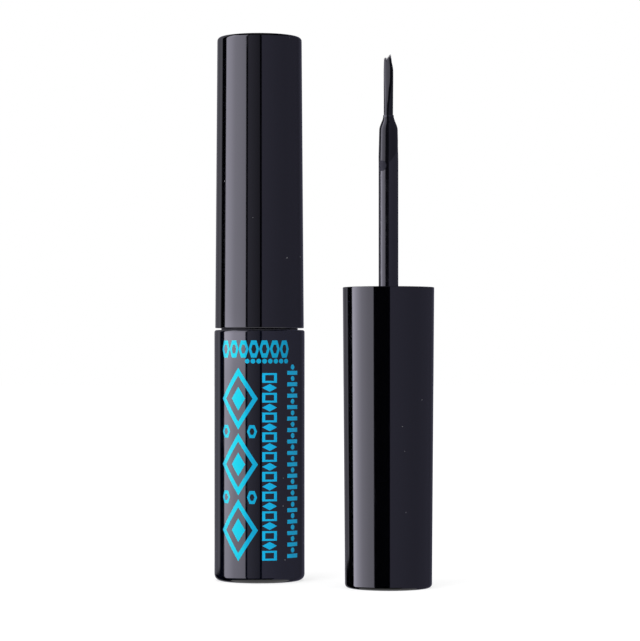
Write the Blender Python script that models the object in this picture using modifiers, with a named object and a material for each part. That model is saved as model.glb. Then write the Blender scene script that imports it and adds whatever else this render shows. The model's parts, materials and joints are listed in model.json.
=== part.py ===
"""Liquid eyeliner: a closed bottle with its cap on, beside a cap and applicator taken out of one.

Metres, +Z up. The origin lies on the floor, under the middle of the pair. A cap and its applicator
are built standing on the cap's closed end, brush up. That is how the open one stands, and the
closed eyeliner holds the same four pieces turned over.
"""
import math
import random

import bmesh
import bpy
from mathutils import Vector

# Place of the two items
AXES_APART_X = 0.0239
AXES_APART_Y = 0.015

# Clearances between pieces
FIT_GAP = 0.0002
SEAM_GAP = 0.00035
STEM_GAP = 0.00015
BRISTLE_GAP = 0.00008
WELL_GAP = 0.00025
WELL_DEPTH_GAP = 0.0004

# Case, the glossy outer tube
CASE_RADIUS = 0.0085
CASE_HEIGHT = 0.0471
CASE_WALL = 0.0009
CASE_FLOOR = 0.0014
CASE_TOP_ROUND = 0.00045
CASE_INNER_ROUND = 0.0006
CASE_BASE_ROUND = 0.0012
RECESS_RADIUS = 0.006
RECESS_DEPTH = 0.00035

# Round label in the recess under the case
LABEL_MARGIN = 0.0002
LABEL_THICKNESS = 0.0001
LABEL_GAP = 0.0001

# Vial, the inner bottle with the threaded neck
VIAL_WALL = 0.0011
VIAL_FLOOR = 0.0011
VIAL_ROUND = 0.0008
COLLAR_STEP = 0.0002
COLLAR_RISE = 0.0022
COLLAR_ROUND = 0.0003
NECK_WALL = 0.00135
NECK_HEIGHT = 0.0094
NECK_ROUND = 0.0003
SHOULDER_DROP = 0.003
SHOULDER_RISE = 0.0018

# Thread, two starts, right-handed
THREAD_LEAD = 0.006
THREAD_STARTS = 2
THREAD_TURNS = 1.0
THREAD_ROOM = 0.00095
THREAD_BEAD = 0.00055
THREAD_SINK = 0.00005
NECK_THREAD_START = 0.0021
INSERT_THREAD_START = 0.00275
BEAD_POINTS = 18
BEAD_FADE_POINTS = 2
BEAD_FADE_SHARE = 0.25

# Wiper, the soft sleeve in the neck
WIPER_FLANGE_STEP = 0.00025
WIPER_FLANGE = 0.0008
WIPER_WALL = 0.0008
WIPER_LENGTH = 0.0089
WIPER_FUNNEL = 0.0028
WIPER_LIP = 0.0006
WIPER_LIP_WALL = 0.00045
WIPER_ROUND = 0.00025

# Liquid
LIQUID_LEVEL = 0.030

# Cap shell
CAP_LENGTH = 0.05475
CAP_RIM_STEP = 0.00015
CAP_TAPER = 0.0004
CAP_RIM_ROUND = 0.0004
CAP_END_ROUND = 0.001
CAP_END_THICKNESS = 0.0013
CAP_MOUTH_WALL = 0.0009
CAP_UPPER_WALL = 0.0013
CAP_INNER_ROUND = 0.0008

# Insert, the threaded inner cap that carries the stem
INSERT_GAP = 0.00035
INSERT_SHELL_GAP = 0.0002
INSERT_WALL = 0.00085
INSERT_CEILING = 0.0014
INSERT_ROUND = 0.0003
BOSS_RADIUS = 0.003
BOSS_HEIGHT = 0.006
BOSS_ROUND = 0.0005
SOCKET_COVER = 0.001

# Stem
STEM_ROOT_RADIUS = 0.0018
STEM_LOW_RADIUS = 0.00166
STEM_ROOT_ROUND = 0.0003
STEM_SHOULDER = 0.004
STEM_SHOULDER_POWER = 3
STEM_TAPER = 0.0055
FERRULE_END_RADIUS = 0.00103
FERRULE_BORE_DEPTH = 0.004

# Brush
BRUSH_LENGTH = 0.0112
BRUSH_RADIUS = 0.00087
BRUSH_ROOT_RADIUS = 0.00085
BRUSH_SETBACK = 0.0003
BRUSH_FLOOR_GAP = 0.0018
BRUSH_ROWS = 5
STRAND_INSET_SHARE = 0.17
FULL_WIDTH_SHARE = 0.8
TIP_SPREAD_SHARE = 0.72
OUTER_DROP_SHARE = 0.045
RAGGED_SHARE = 0.06
BRUSH_SEED = 7

# Facets
ROUND_SEGMENTS = 32
STEM_SEGMENTS = 20
HEXAGON_SIDES = 6
CORNER_STEPS = 3
SHOULDER_STEPS = 5
CORNER_REACH_SHARE = 0.48
WELD_DISTANCE = 0.000001
SHARP_ANGLE = math.radians(35)

# Heights in the closed eyeliner, from the floor
CAP_RIM_HEIGHT = CASE_HEIGHT + SEAM_GAP
CLOSED_HEIGHT = CAP_RIM_HEIGHT + CAP_LENGTH
CASE_FLOOR_TOP = RECESS_DEPTH + CASE_FLOOR
VIAL_BOTTOM = CASE_FLOOR_TOP + FIT_GAP
VIAL_FLOOR_TOP = VIAL_BOTTOM + VIAL_FLOOR
COLLAR_TOP = CASE_HEIGHT + COLLAR_RISE
NECK_TOP = COLLAR_TOP + NECK_HEIGHT
FLANGE_BOTTOM = NECK_TOP + FIT_GAP
FLANGE_TOP = FLANGE_BOTTOM + WIPER_FLANGE
NECK_THREAD_HEIGHT = COLLAR_TOP + NECK_THREAD_START

# Heights in the open applicator, from the cap's closed end
STEM_VISIBLE = CAP_RIM_HEIGHT - VIAL_FLOOR_TOP - BRUSH_FLOOR_GAP - BRUSH_LENGTH
STEM_END = CAP_LENGTH + STEM_VISIBLE
BRUSH_TIP = STEM_END + BRUSH_LENGTH
INSERT_MOUTH = CLOSED_HEIGHT - COLLAR_TOP - INSERT_GAP
CEILING_INNER = CLOSED_HEIGHT - FLANGE_TOP - FIT_GAP
CEILING_OUTER = CEILING_INNER - INSERT_CEILING
BOSS_END = CEILING_OUTER - BOSS_HEIGHT
SOCKET_FLOOR = BOSS_END + SOCKET_COVER
STEM_ROOT = SOCKET_FLOOR + FIT_GAP
SHELL_LEDGE = CEILING_OUTER - FIT_GAP
THREAD_PITCH = THREAD_LEAD / THREAD_STARTS
INSERT_THREAD_TOP = INSERT_MOUTH - INSERT_THREAD_START
INSERT_THREAD_BOTTOM = INSERT_THREAD_TOP - THREAD_LEAD * THREAD_TURNS
INSERT_THREAD_PHASE = CLOSED_HEIGHT - NECK_THREAD_HEIGHT - THREAD_PITCH / 2

# Radii that follow from the walls and clearances
VIAL_RADIUS = CASE_RADIUS - CASE_WALL - FIT_GAP
COLLAR_RADIUS = VIAL_RADIUS - COLLAR_STEP
VIAL_BORE = VIAL_RADIUS - VIAL_WALL
LIQUID_RADIUS = VIAL_BORE - FIT_GAP
CAP_RIM_RADIUS = CASE_RADIUS - CAP_RIM_STEP
CAP_END_RADIUS = CAP_RIM_RADIUS - CAP_TAPER
CAP_MOUTH_BORE = CAP_RIM_RADIUS - CAP_MOUTH_WALL
INSERT_RADIUS = CAP_MOUTH_BORE - INSERT_SHELL_GAP
INSERT_BORE = INSERT_RADIUS - INSERT_WALL
NECK_RADIUS = INSERT_BORE - THREAD_ROOM
NECK_BORE = NECK_RADIUS - NECK_WALL
SOCKET_RADIUS = STEM_ROOT_RADIUS + STEM_GAP
FERRULE_BORE = BRUSH_ROOT_RADIUS + BRISTLE_GAP
WIPER_FLANGE_RADIUS = NECK_RADIUS - WIPER_FLANGE_STEP
WIPER_RADIUS = NECK_BORE - FIT_GAP
WIPER_BORE = WIPER_RADIUS - WIPER_WALL
LIP_BORE = STEM_ROOT_RADIUS + STEM_GAP

# Middle of the pair's box over the origin
BOTTLE_X = -(AXES_APART_X + CAP_RIM_RADIUS - CASE_RADIUS) / 2
BOTTLE_Y = (AXES_APART_Y + CAP_RIM_RADIUS - CASE_RADIUS) / 2
OPEN_X = BOTTLE_X + AXES_APART_X
OPEN_Y = BOTTLE_Y - AXES_APART_Y

# Finishes: colour, roughness
FINISHES = {
    "gloss_black": ((0.010, 0.010, 0.014), 0.06),
    "case_black": ((0.012, 0.013, 0.018), 0.06),
    "label_grey": ((0.55, 0.56, 0.58), 0.45),
    "vial_smoke": ((0.030, 0.030, 0.036), 0.20),
    "insert_black": ((0.014, 0.014, 0.017), 0.30),
    "wiper_natural": ((0.62, 0.62, 0.60), 0.50),
    "stem_black": ((0.010, 0.010, 0.012), 0.12),
    "liner_black": ((0.004, 0.004, 0.006), 0.05),
    "bristle_black": ((0.012, 0.011, 0.013), 0.35),
}


def new_collection(name):
    """A collection in the scene."""
    made = bpy.data.collections.new(name)
    bpy.context.scene.collection.children.link(made)
    return made


def new_finish(name):
    """A Principled material from the table of finishes."""
    colour, roughness = FINISHES[name]
    made = bpy.data.materials.new(name)
    made.use_nodes = True
    shader = made.node_tree.nodes["Principled BSDF"]
    shader.inputs["Base Color"].default_value = (*colour, 1.0)
    shader.inputs["Roughness"].default_value = roughness
    shader.inputs["Metallic"].default_value = 0.0
    return made


def new_axis(name, place, turned_over=False):
    """An empty on an item's axis, which its pieces are parented to."""
    empty = bpy.data.objects.new(name, None)
    empty.location = place
    empty.rotation_euler.x = math.pi if turned_over else 0
    PARTS.objects.link(empty)
    return empty


def rounded(corners, loop=False):
    """Outline through corners of (radius, height, round), each round drawn as an arc."""
    outline = []
    count = len(corners)
    for index, (x, z, size) in enumerate(corners):
        here = Vector((x, z))
        if size == 0 or (not loop and index in (0, count - 1)):
            outline.append(here)
            continue
        back = Vector(corners[index - 1][:2]) - here
        ahead = Vector(corners[(index + 1) % count][:2]) - here
        half = back.angle(ahead) / 2
        room = CORNER_REACH_SHARE * min(back.length, ahead.length)
        reach = min(size / math.tan(half), room)
        arc_radius = reach * math.tan(half)
        middle = (back.normalized() + ahead.normalized()).normalized()
        centre = here + middle * (arc_radius / math.sin(half))
        start = here + back.normalized() * reach - centre
        end = here + ahead.normalized() * reach - centre
        sweep = start.angle_signed(end)
        for step in range(CORNER_STEPS + 1):
            angle = math.atan2(start.y, start.x) - sweep * step / CORNER_STEPS
            outline.append(centre + arc_radius * Vector((math.cos(angle), math.sin(angle))))
    return outline


def finish_piece(piece, finish, holder):
    """Smooth shading with sharp corners, the finish, the collection and the parent."""
    piece.data.shade_smooth()
    piece.data.set_sharp_from_angle(angle=SHARP_ANGLE)
    piece.data.materials.clear()
    piece.data.materials.append(MATERIALS[finish])
    PARTS.objects.link(piece)
    piece.parent = holder
    return piece


def settled_mesh(source, name):
    """The source object's evaluated shape as a mesh; the source is removed."""
    bpy.context.scene.collection.objects.link(source)
    graph = bpy.context.evaluated_depsgraph_get()
    mesh = bpy.data.meshes.new_from_object(source.evaluated_get(graph))
    mesh.name = name
    bpy.data.objects.remove(source)
    return mesh


def turned(name, outline, finish, holder, segments=ROUND_SEGMENTS, loop=False):
    """A body of revolution about Z, from an outline that runs down its outer side."""
    edges = [(index, index + 1) for index in range(len(outline) - 1)]
    if loop:
        edges.append((len(outline) - 1, 0))
    profile_mesh = bpy.data.meshes.new(name)
    profile_mesh.from_pydata([(point.x, 0, point.y) for point in outline], edges, [])
    profile = bpy.data.objects.new(name, profile_mesh)
    screw = profile.modifiers.new("turn", "SCREW")
    screw.steps = segments
    screw.render_steps = segments
    screw.use_merge_vertices = True
    screw.merge_threshold = WELD_DISTANCE
    piece = bpy.data.objects.new(name, settled_mesh(profile, name))
    return finish_piece(piece, finish, holder)


def thread_beads(name, radius, bottom, phase_height, holder):
    """The thread's beads as one helper mesh: a helix for each start, fading out at its ends."""
    curve = bpy.data.curves.new(name, "CURVE")
    curve.dimensions = "3D"
    curve.bevel_depth = THREAD_BEAD
    curve.bevel_resolution = 1
    curve.use_fill_caps = True
    for start in range(THREAD_STARTS):
        spline = curve.splines.new("POLY")
        spline.points.add(BEAD_POINTS)
        for index, point in enumerate(spline.points):
            height = bottom + THREAD_LEAD * THREAD_TURNS * index / BEAD_POINTS
            turns = (height - phase_height) / THREAD_LEAD + start / THREAD_STARTS
            angle = math.tau * turns
            point.co = (radius * math.cos(angle), radius * math.sin(angle), height, 1)
            from_end = min(index, BEAD_POINTS - index, BEAD_FADE_POINTS) / BEAD_FADE_POINTS
            point.radius = BEAD_FADE_SHARE + (1 - BEAD_FADE_SHARE) * from_end
    mesh = settled_mesh(bpy.data.objects.new(name, curve), name)
    shape = bmesh.new()
    shape.from_mesh(mesh)
    bmesh.ops.remove_doubles(shape, verts=shape.verts, dist=WELD_DISTANCE)
    bmesh.ops.recalc_face_normals(shape, faces=shape.faces)
    shape.to_mesh(mesh)
    shape.free()
    helper = bpy.data.objects.new(name, mesh)
    HELPERS.objects.link(helper)
    helper.parent = holder
    helper.hide_render = True
    helper.display_type = "WIRE"
    return helper


def add_thread(piece, helper):
    """Joins a helper's beads to a piece."""
    union = piece.modifiers.new("thread", "BOOLEAN")
    union.operation = "UNION"
    union.object = helper


def build_case(holder):
    """The outer tube: a deep cup with a recess under its floor."""
    bore = CASE_RADIUS - CASE_WALL
    corners = [
        (0, CASE_FLOOR_TOP, 0),
        (bore, CASE_FLOOR_TOP, CASE_INNER_ROUND),
        (bore, CASE_HEIGHT, 0),
        (CASE_RADIUS, CASE_HEIGHT, CASE_TOP_ROUND),
        (CASE_RADIUS, 0, CASE_BASE_ROUND),
        (RECESS_RADIUS, 0, 0),
        (RECESS_RADIUS, RECESS_DEPTH, 0),
        (0, RECESS_DEPTH, 0),
    ]
    turned("bottle_case", rounded(corners), "case_black", holder)


def build_label(holder):
    """The blank round label, up in the recess."""
    radius = RECESS_RADIUS - LABEL_MARGIN
    top = RECESS_DEPTH - LABEL_GAP
    bottom = top - LABEL_THICKNESS
    corners = [(0, top, 0), (radius, top, 0), (radius, bottom, 0), (0, bottom, 0)]
    turned("base_label", rounded(corners), "label_grey", holder)


def build_vial(holder):
    """The inner bottle, with a collar that enters the cap and a threaded neck."""
    shoulder_bottom = CASE_HEIGHT - SHOULDER_DROP
    shoulder_top = shoulder_bottom + SHOULDER_RISE
    corners = [
        (0, VIAL_FLOOR_TOP, 0),
        (VIAL_BORE, VIAL_FLOOR_TOP, VIAL_ROUND),
        (VIAL_BORE, shoulder_bottom, 0),
        (NECK_BORE, shoulder_top, 0),
        (NECK_BORE, NECK_TOP, 0),
        (NECK_RADIUS, NECK_TOP, NECK_ROUND),
        (NECK_RADIUS, COLLAR_TOP, 0),
        (COLLAR_RADIUS, COLLAR_TOP, COLLAR_ROUND),
        (COLLAR_RADIUS, shoulder_top, 0),
        (VIAL_RADIUS, shoulder_bottom, 0),
        (VIAL_RADIUS, VIAL_BOTTOM, VIAL_ROUND),
        (0, VIAL_BOTTOM, 0),
    ]
    vial = turned("inner_vial", rounded(corners), "vial_smoke", holder)
    helix_radius = NECK_RADIUS + THREAD_SINK
    beads = thread_beads("neck_beads", helix_radius, NECK_THREAD_HEIGHT, NECK_THREAD_HEIGHT, holder)
    add_thread(vial, beads)


def build_wiper(holder):
    """The wiper: a flange on the neck and a sleeve that narrows to a lip around the stem."""
    bottom = FLANGE_BOTTOM - WIPER_LENGTH
    lip_top = bottom + WIPER_LIP
    funnel_top = bottom + WIPER_FUNNEL
    corners = [
        (WIPER_BORE, FLANGE_TOP, WIPER_ROUND),
        (WIPER_FLANGE_RADIUS, FLANGE_TOP, WIPER_ROUND),
        (WIPER_FLANGE_RADIUS, FLANGE_BOTTOM, 0),
        (WIPER_RADIUS, FLANGE_BOTTOM, 0),
        (WIPER_RADIUS, funnel_top, 0),
        (LIP_BORE + WIPER_LIP_WALL, lip_top, 0),
        (LIP_BORE + WIPER_LIP_WALL, bottom, 0),
        (LIP_BORE, bottom, 0),
        (LIP_BORE, lip_top, 0),
        (WIPER_BORE, funnel_top + WIPER_WALL, 0),
    ]
    turned("wiper", rounded(corners, loop=True), "wiper_natural", holder, loop=True)


def build_liquid(holder):
    """The liquid in the vial, with a well that the stem and brush stand in."""
    bottom = VIAL_FLOOR_TOP + FIT_GAP
    stem_well = STEM_ROOT_RADIUS + WELL_GAP
    brush_well = BRUSH_RADIUS + WELL_GAP
    well_bottom = CLOSED_HEIGHT - BRUSH_TIP - WELL_DEPTH_GAP
    well_step = CLOSED_HEIGHT - STEM_END - WELL_GAP
    corners = [
        (0, well_bottom, 0),
        (brush_well, well_bottom, 0),
        (brush_well, well_step, 0),
        (stem_well, well_step, 0),
        (stem_well, LIQUID_LEVEL, 0),
        (LIQUID_RADIUS, LIQUID_LEVEL, 0),
        (LIQUID_RADIUS, bottom, VIAL_ROUND),
        (0, bottom, 0),
    ]
    turned("liner_liquid", rounded(corners), "liner_black", holder)


def build_cap_shell(prefix, holder):
    """The cap's outer shell: a slightly tapered cup, wider at its mouth for the insert."""
    corners = [
        (0, CAP_END_THICKNESS, 0),
        (CAP_END_RADIUS - CAP_UPPER_WALL, CAP_END_THICKNESS, CAP_INNER_ROUND),
        (CAP_RIM_RADIUS - CAP_UPPER_WALL, SHELL_LEDGE, 0),
        (CAP_MOUTH_BORE, SHELL_LEDGE, 0),
        (CAP_MOUTH_BORE, CAP_LENGTH, 0),
        (CAP_RIM_RADIUS, CAP_LENGTH, CAP_RIM_ROUND),
        (CAP_END_RADIUS, 0, CAP_END_ROUND),
        (0, 0, 0),
    ]
    turned(prefix + "cap_shell", rounded(corners), "gloss_black", holder)


def build_insert(prefix, holder):
    """The inner cap: a threaded cup with a boss whose socket takes the stem."""
    corners = [
        (0, SOCKET_FLOOR, 0),
        (SOCKET_RADIUS, SOCKET_FLOOR, 0),
        (SOCKET_RADIUS, CEILING_INNER, 0),
        (INSERT_BORE, CEILING_INNER, INSERT_ROUND),
        (INSERT_BORE, INSERT_MOUTH, 0),
        (INSERT_RADIUS, INSERT_MOUTH, INSERT_ROUND),
        (INSERT_RADIUS, CEILING_OUTER, INSERT_ROUND),
        (BOSS_RADIUS, CEILING_OUTER, 0),
        (BOSS_RADIUS, BOSS_END, BOSS_ROUND),
        (0, BOSS_END, 0),
    ]
    insert = turned(prefix + "cap_insert", rounded(corners), "insert_black", holder)
    helix_radius = INSERT_BORE - THREAD_SINK
    name = prefix + "insert_beads"
    beads = thread_beads(name, helix_radius, INSERT_THREAD_BOTTOM, INSERT_THREAD_PHASE, holder)
    add_thread(insert, beads)


def build_stem(prefix, holder):
    """The stem: it tapers a little above the cap and ends in a shoulder round the bristles' bore."""
    outline = rounded([
        (0, STEM_END - FERRULE_BORE_DEPTH, 0),
        (FERRULE_BORE, STEM_END - FERRULE_BORE_DEPTH, 0),
        (FERRULE_BORE, STEM_END, 0),
        (FERRULE_END_RADIUS, STEM_END, 0),
    ])
    for step in range(1, SHOULDER_STEPS + 1):
        along = 1 - step / SHOULDER_STEPS
        drop = (STEM_LOW_RADIUS - FERRULE_END_RADIUS) * along ** STEM_SHOULDER_POWER
        outline.append(Vector((STEM_LOW_RADIUS - drop, STEM_END - STEM_SHOULDER * (1 - along))))
    outline += rounded([
        (STEM_ROOT_RADIUS, STEM_END - STEM_SHOULDER - STEM_TAPER, 0),
        (STEM_ROOT_RADIUS, STEM_ROOT, STEM_ROOT_ROUND),
        (0, STEM_ROOT, 0),
    ])
    turned(prefix + "applicator_stem", outline, "stem_black", holder, STEM_SEGMENTS)


def round_out(shape):
    """Moves the points of a flat hexagon out until its rows are circles. Its flats face along X."""
    sector = math.tau / HEXAGON_SIDES
    for vert in shape.verts:
        angle = math.atan2(vert.co.y, vert.co.x)
        from_flat = (angle + sector / 2) % sector - sector / 2
        vert.co.xy *= math.cos(from_flat) / math.cos(sector / 2)


def build_brush(prefix, holder):
    """The tuft: three-sided strands on a slice of backing that sits in the stem's bore."""
    shape = bmesh.new()
    bmesh.ops.create_circle(
        shape, segments=HEXAGON_SIDES, radius=BRUSH_ROOT_RADIUS, cap_ends=True, cap_tris=True
    )
    bmesh.ops.subdivide_edges(shape, edges=shape.edges, cuts=BRUSH_ROWS - 1, use_grid_fill=True)
    round_out(shape)
    root = STEM_END - BRUSH_SETBACK
    bmesh.ops.translate(shape, verts=shape.verts, vec=(0, 0, root))
    strands = list(shape.faces)
    rim = [edge for edge in shape.edges if edge.is_boundary]
    skirt = bmesh.ops.extrude_edge_only(shape, edges=rim)["geom"]
    backing = root - (STEM_END - FERRULE_BORE_DEPTH + BRISTLE_GAP)
    skirt_verts = [item for item in skirt if isinstance(item, bmesh.types.BMVert)]
    bmesh.ops.translate(shape, verts=skirt_verts, vec=(0, 0, -backing))
    bottom = [edge for edge in shape.edges if edge.is_boundary]
    bmesh.ops.edgeloop_fill(shape, edges=bottom)
    spacing = BRUSH_ROOT_RADIUS / BRUSH_ROWS
    bmesh.ops.inset_individual(shape, faces=strands, thickness=spacing * STRAND_INSET_SHARE)

    swell = BRUSH_RADIUS / BRUSH_ROOT_RADIUS
    full_width = STEM_END + BRUSH_LENGTH * FULL_WIDTH_SHARE
    grown = bmesh.ops.extrude_discrete_faces(shape, faces=strands)["faces"]
    for face in grown:
        for vert in face.verts:
            vert.co = Vector((vert.co.x * swell, vert.co.y * swell, full_width))

    tips = bmesh.ops.extrude_discrete_faces(shape, faces=grown)["faces"]
    draw = random.Random(BRUSH_SEED)
    centres = [face.calc_center_median() for face in tips]
    outwards = [centre.xy.length / BRUSH_RADIUS for centre in centres]
    drops = [OUTER_DROP_SHARE * out ** 2 + RAGGED_SHARE * draw.random() for out in outwards]
    for face, centre, drop in zip(tips, centres, drops):
        height = STEM_END + BRUSH_LENGTH * (1 - drop + min(drops))
        tip = Vector((centre.x * TIP_SPREAD_SHARE, centre.y * TIP_SPREAD_SHARE, height))
        bmesh.ops.pointmerge(shape, verts=face.verts, merge_co=tip)
    bmesh.ops.recalc_face_normals(shape, faces=shape.faces)

    mesh = bpy.data.meshes.new(prefix + "brush_tuft")
    shape.to_mesh(mesh)
    shape.free()
    finish_piece(bpy.data.objects.new(mesh.name, mesh), "bristle_black", holder)


def build_cap_set(prefix, holder):
    """A cap with its insert, stem and brush, built from the cap's closed end up."""
    build_cap_shell(prefix, holder)
    build_insert(prefix, holder)
    build_stem(prefix, holder)
    build_brush(prefix, holder)


for old in list(bpy.data.objects):
    bpy.data.objects.remove(old)
PARTS = new_collection("eyeliner")
HELPERS = new_collection("cutters")
MATERIALS = {name: new_finish(name) for name in FINISHES}

bottle_axis = new_axis("bottle_axis", (BOTTLE_X, BOTTLE_Y, 0))
build_case(bottle_axis)
build_label(bottle_axis)
build_vial(bottle_axis)
build_wiper(bottle_axis)
build_liquid(bottle_axis)
build_cap_set("", new_axis("cap_axis", (BOTTLE_X, BOTTLE_Y, CLOSED_HEIGHT), turned_over=True))
build_cap_set("open_", new_axis("open_axis", (OPEN_X, OPEN_Y, 0)))
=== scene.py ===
"""Looks of a dip-in liquid eyeliner: the closed bottle beside a cap with its brush taken out.

Metres, +Z up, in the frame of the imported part. Each piece takes its axis, radius and heights from
the CAD node that it stands for, and its walls and fillets from its sub-assembly's own fields.
"""
import json
import logging
import math
from abc import ABC, abstractmethod
from collections.abc import Callable, Mapping, Sequence
from dataclasses import dataclass, field
from enum import Enum
from functools import cache

import bmesh
import bpy
from mathutils import Matrix, Vector, noise

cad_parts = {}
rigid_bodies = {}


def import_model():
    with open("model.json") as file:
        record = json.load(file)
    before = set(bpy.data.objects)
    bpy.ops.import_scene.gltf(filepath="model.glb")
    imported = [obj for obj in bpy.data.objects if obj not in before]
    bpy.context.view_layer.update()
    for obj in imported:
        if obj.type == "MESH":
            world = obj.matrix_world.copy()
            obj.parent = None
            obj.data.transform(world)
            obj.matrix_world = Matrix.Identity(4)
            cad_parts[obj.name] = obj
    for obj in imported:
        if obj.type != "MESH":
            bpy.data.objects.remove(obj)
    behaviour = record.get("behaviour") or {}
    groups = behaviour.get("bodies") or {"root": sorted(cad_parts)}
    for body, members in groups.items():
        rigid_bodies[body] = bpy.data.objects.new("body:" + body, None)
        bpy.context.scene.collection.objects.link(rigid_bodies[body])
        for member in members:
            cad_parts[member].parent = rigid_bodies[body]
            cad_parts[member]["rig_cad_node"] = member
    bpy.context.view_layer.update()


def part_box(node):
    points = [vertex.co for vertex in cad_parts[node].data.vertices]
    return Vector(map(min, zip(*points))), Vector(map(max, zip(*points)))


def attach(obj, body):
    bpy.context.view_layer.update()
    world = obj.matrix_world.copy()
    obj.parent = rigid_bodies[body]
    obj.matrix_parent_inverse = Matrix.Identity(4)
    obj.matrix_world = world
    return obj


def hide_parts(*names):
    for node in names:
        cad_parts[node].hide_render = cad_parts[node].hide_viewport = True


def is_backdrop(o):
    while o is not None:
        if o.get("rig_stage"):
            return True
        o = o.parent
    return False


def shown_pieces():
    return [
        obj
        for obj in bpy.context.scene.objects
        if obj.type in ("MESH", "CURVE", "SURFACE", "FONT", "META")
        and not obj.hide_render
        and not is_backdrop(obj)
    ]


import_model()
LOG = logging.getLogger("eyeliner")

Triple = tuple[float, float, float]
Colour = Triple
Span = tuple[float, float]

# A lesser edge is rounded by this share of the size that it follows.
LESSER_EDGE_SHARE = 1 / 3

# The brush: a fibre's points, sides and thinning, how unevenly its locks lie, the plug's sides, and
# how many places are tried for each fibre.
FIBRE_POINTS = 8
FIBRE_SIDES = 5
FIBRE_THINNING_SHARE = 0.7
LOCK_RANDOMNESS = 0.8
PLUG_SIDES = 48
TRIES_PER_FIBRE = 4


def eased(value: float, low: float, high: float) -> float:
    """Rises smoothly from zero at low to one at high.

    Args:
        value: Where it is read.
        low: Where it leaves zero.
        high: Where it reaches one.

    Returns:
        The eased value.
    """
    share = min(max((value - low) / (high - low), 0.0), 1.0)
    return share * share * (3 - 2 * share)


class Slot(Enum):
    """The record's material slots."""

    GLOSS_BLACK = "gloss_black"
    CASE_BLACK = "case_black"
    LABEL_GREY = "label_grey"
    VIAL_SMOKE = "vial_smoke"
    INSERT_BLACK = "insert_black"
    WIPER_NATURAL = "wiper_natural"
    STEM_BLACK = "stem_black"
    LINER_BLACK = "liner_black"
    BRISTLE_BLACK = "bristle_black"
    PRINT_CYAN = "print_cyan"
    PRINT_BLUE = "print_blue"


class Wire:
    """An output of a node, on which arithmetic adds the nodes that do it."""

    def __init__(self, graph: "Graph", socket: bpy.types.NodeSocket) -> None:
        """Keeps the socket and the graph that it belongs to."""
        self.graph = graph
        self.socket = socket

    def _with(self, operation: str, *operands: "Wire | float") -> "Wire":
        """Adds a Math node, or a Vector Math node where an operand is a vector.

        Args:
            operation: The node's operation.
            operands: Its operands, in order.

        Returns:
            The node's result.
        """
        vector = any(isinstance(item, Wire) and item.socket.type == "VECTOR" for item in operands)
        kind = "ShaderNodeVectorMath" if vector else "ShaderNodeMath"
        return self.graph.node(kind, {"operation": operation}, dict(enumerate(operands)))[0]

    def __add__(self, other: "Wire | float") -> "Wire":
        """Sum."""
        return self._with("ADD", self, other)

    def __radd__(self, other: float) -> "Wire":
        """Sum, number first."""
        return self._with("ADD", other, self)

    def __sub__(self, other: "Wire | float") -> "Wire":
        """Difference."""
        return self._with("SUBTRACT", self, other)

    def __rsub__(self, other: float) -> "Wire":
        """Difference, number first."""
        return self._with("SUBTRACT", other, self)

    def __mul__(self, other: "Wire | float") -> "Wire":
        """Product."""
        return self._with("MULTIPLY", self, other)

    def __rmul__(self, other: float) -> "Wire":
        """Product, number first."""
        return self._with("MULTIPLY", other, self)

    def __truediv__(self, other: "Wire | float") -> "Wire":
        """Quotient."""
        return self._with("DIVIDE", self, other)

    def __rtruediv__(self, other: float) -> "Wire":
        """Quotient, number first."""
        return self._with("DIVIDE", other, self)

    def __pow__(self, other: float) -> "Wire":
        """Power."""
        return self._with("POWER", self, other)

    def __gt__(self, other: "Wire | float") -> "Wire":
        """One where this is greater, else zero."""
        return self._with("GREATER_THAN", self, other)

    def __lt__(self, other: "Wire | float") -> "Wire":
        """One where this is less, else zero."""
        return self._with("LESS_THAN", self, other)

    def does(self, operation: str, *operands: "Wire | float") -> "Wire":
        """Any other operation of a Math node, such as FLOOR, MODULO or ARCTAN2."""
        return self._with(operation, self, *operands)

    def eased(self, low: "Wire | float", high: "Wire | float") -> "Wire":
        """Rises smoothly from zero at low to one at high.

        Args:
            low: Where it leaves zero.
            high: Where it reaches one.

        Returns:
            The eased value.
        """
        made = self.graph.node(
            "ShaderNodeMapRange",
            {"interpolation_type": "SMOOTHSTEP"},
            {"Value": self, "From Min": low, "From Max": high},
        )
        return made["Result"]

    def part(self, axis: str) -> "Wire":
        """The X, Y or Z of a vector."""
        return self.graph.node("ShaderNodeSeparateXYZ", {}, {0: self})[axis]


class Handle:
    """A made node, whose outputs are taken by name or number."""

    def __init__(self, graph: "Graph", made: bpy.types.Node) -> None:
        """Keeps the node and its graph."""
        self.graph = graph
        self.made = made

    def __getitem__(self, key: str | int) -> Wire:
        """The output of that name or number."""
        return Wire(self.graph, Graph.socket(self.made.outputs, key))


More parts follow.
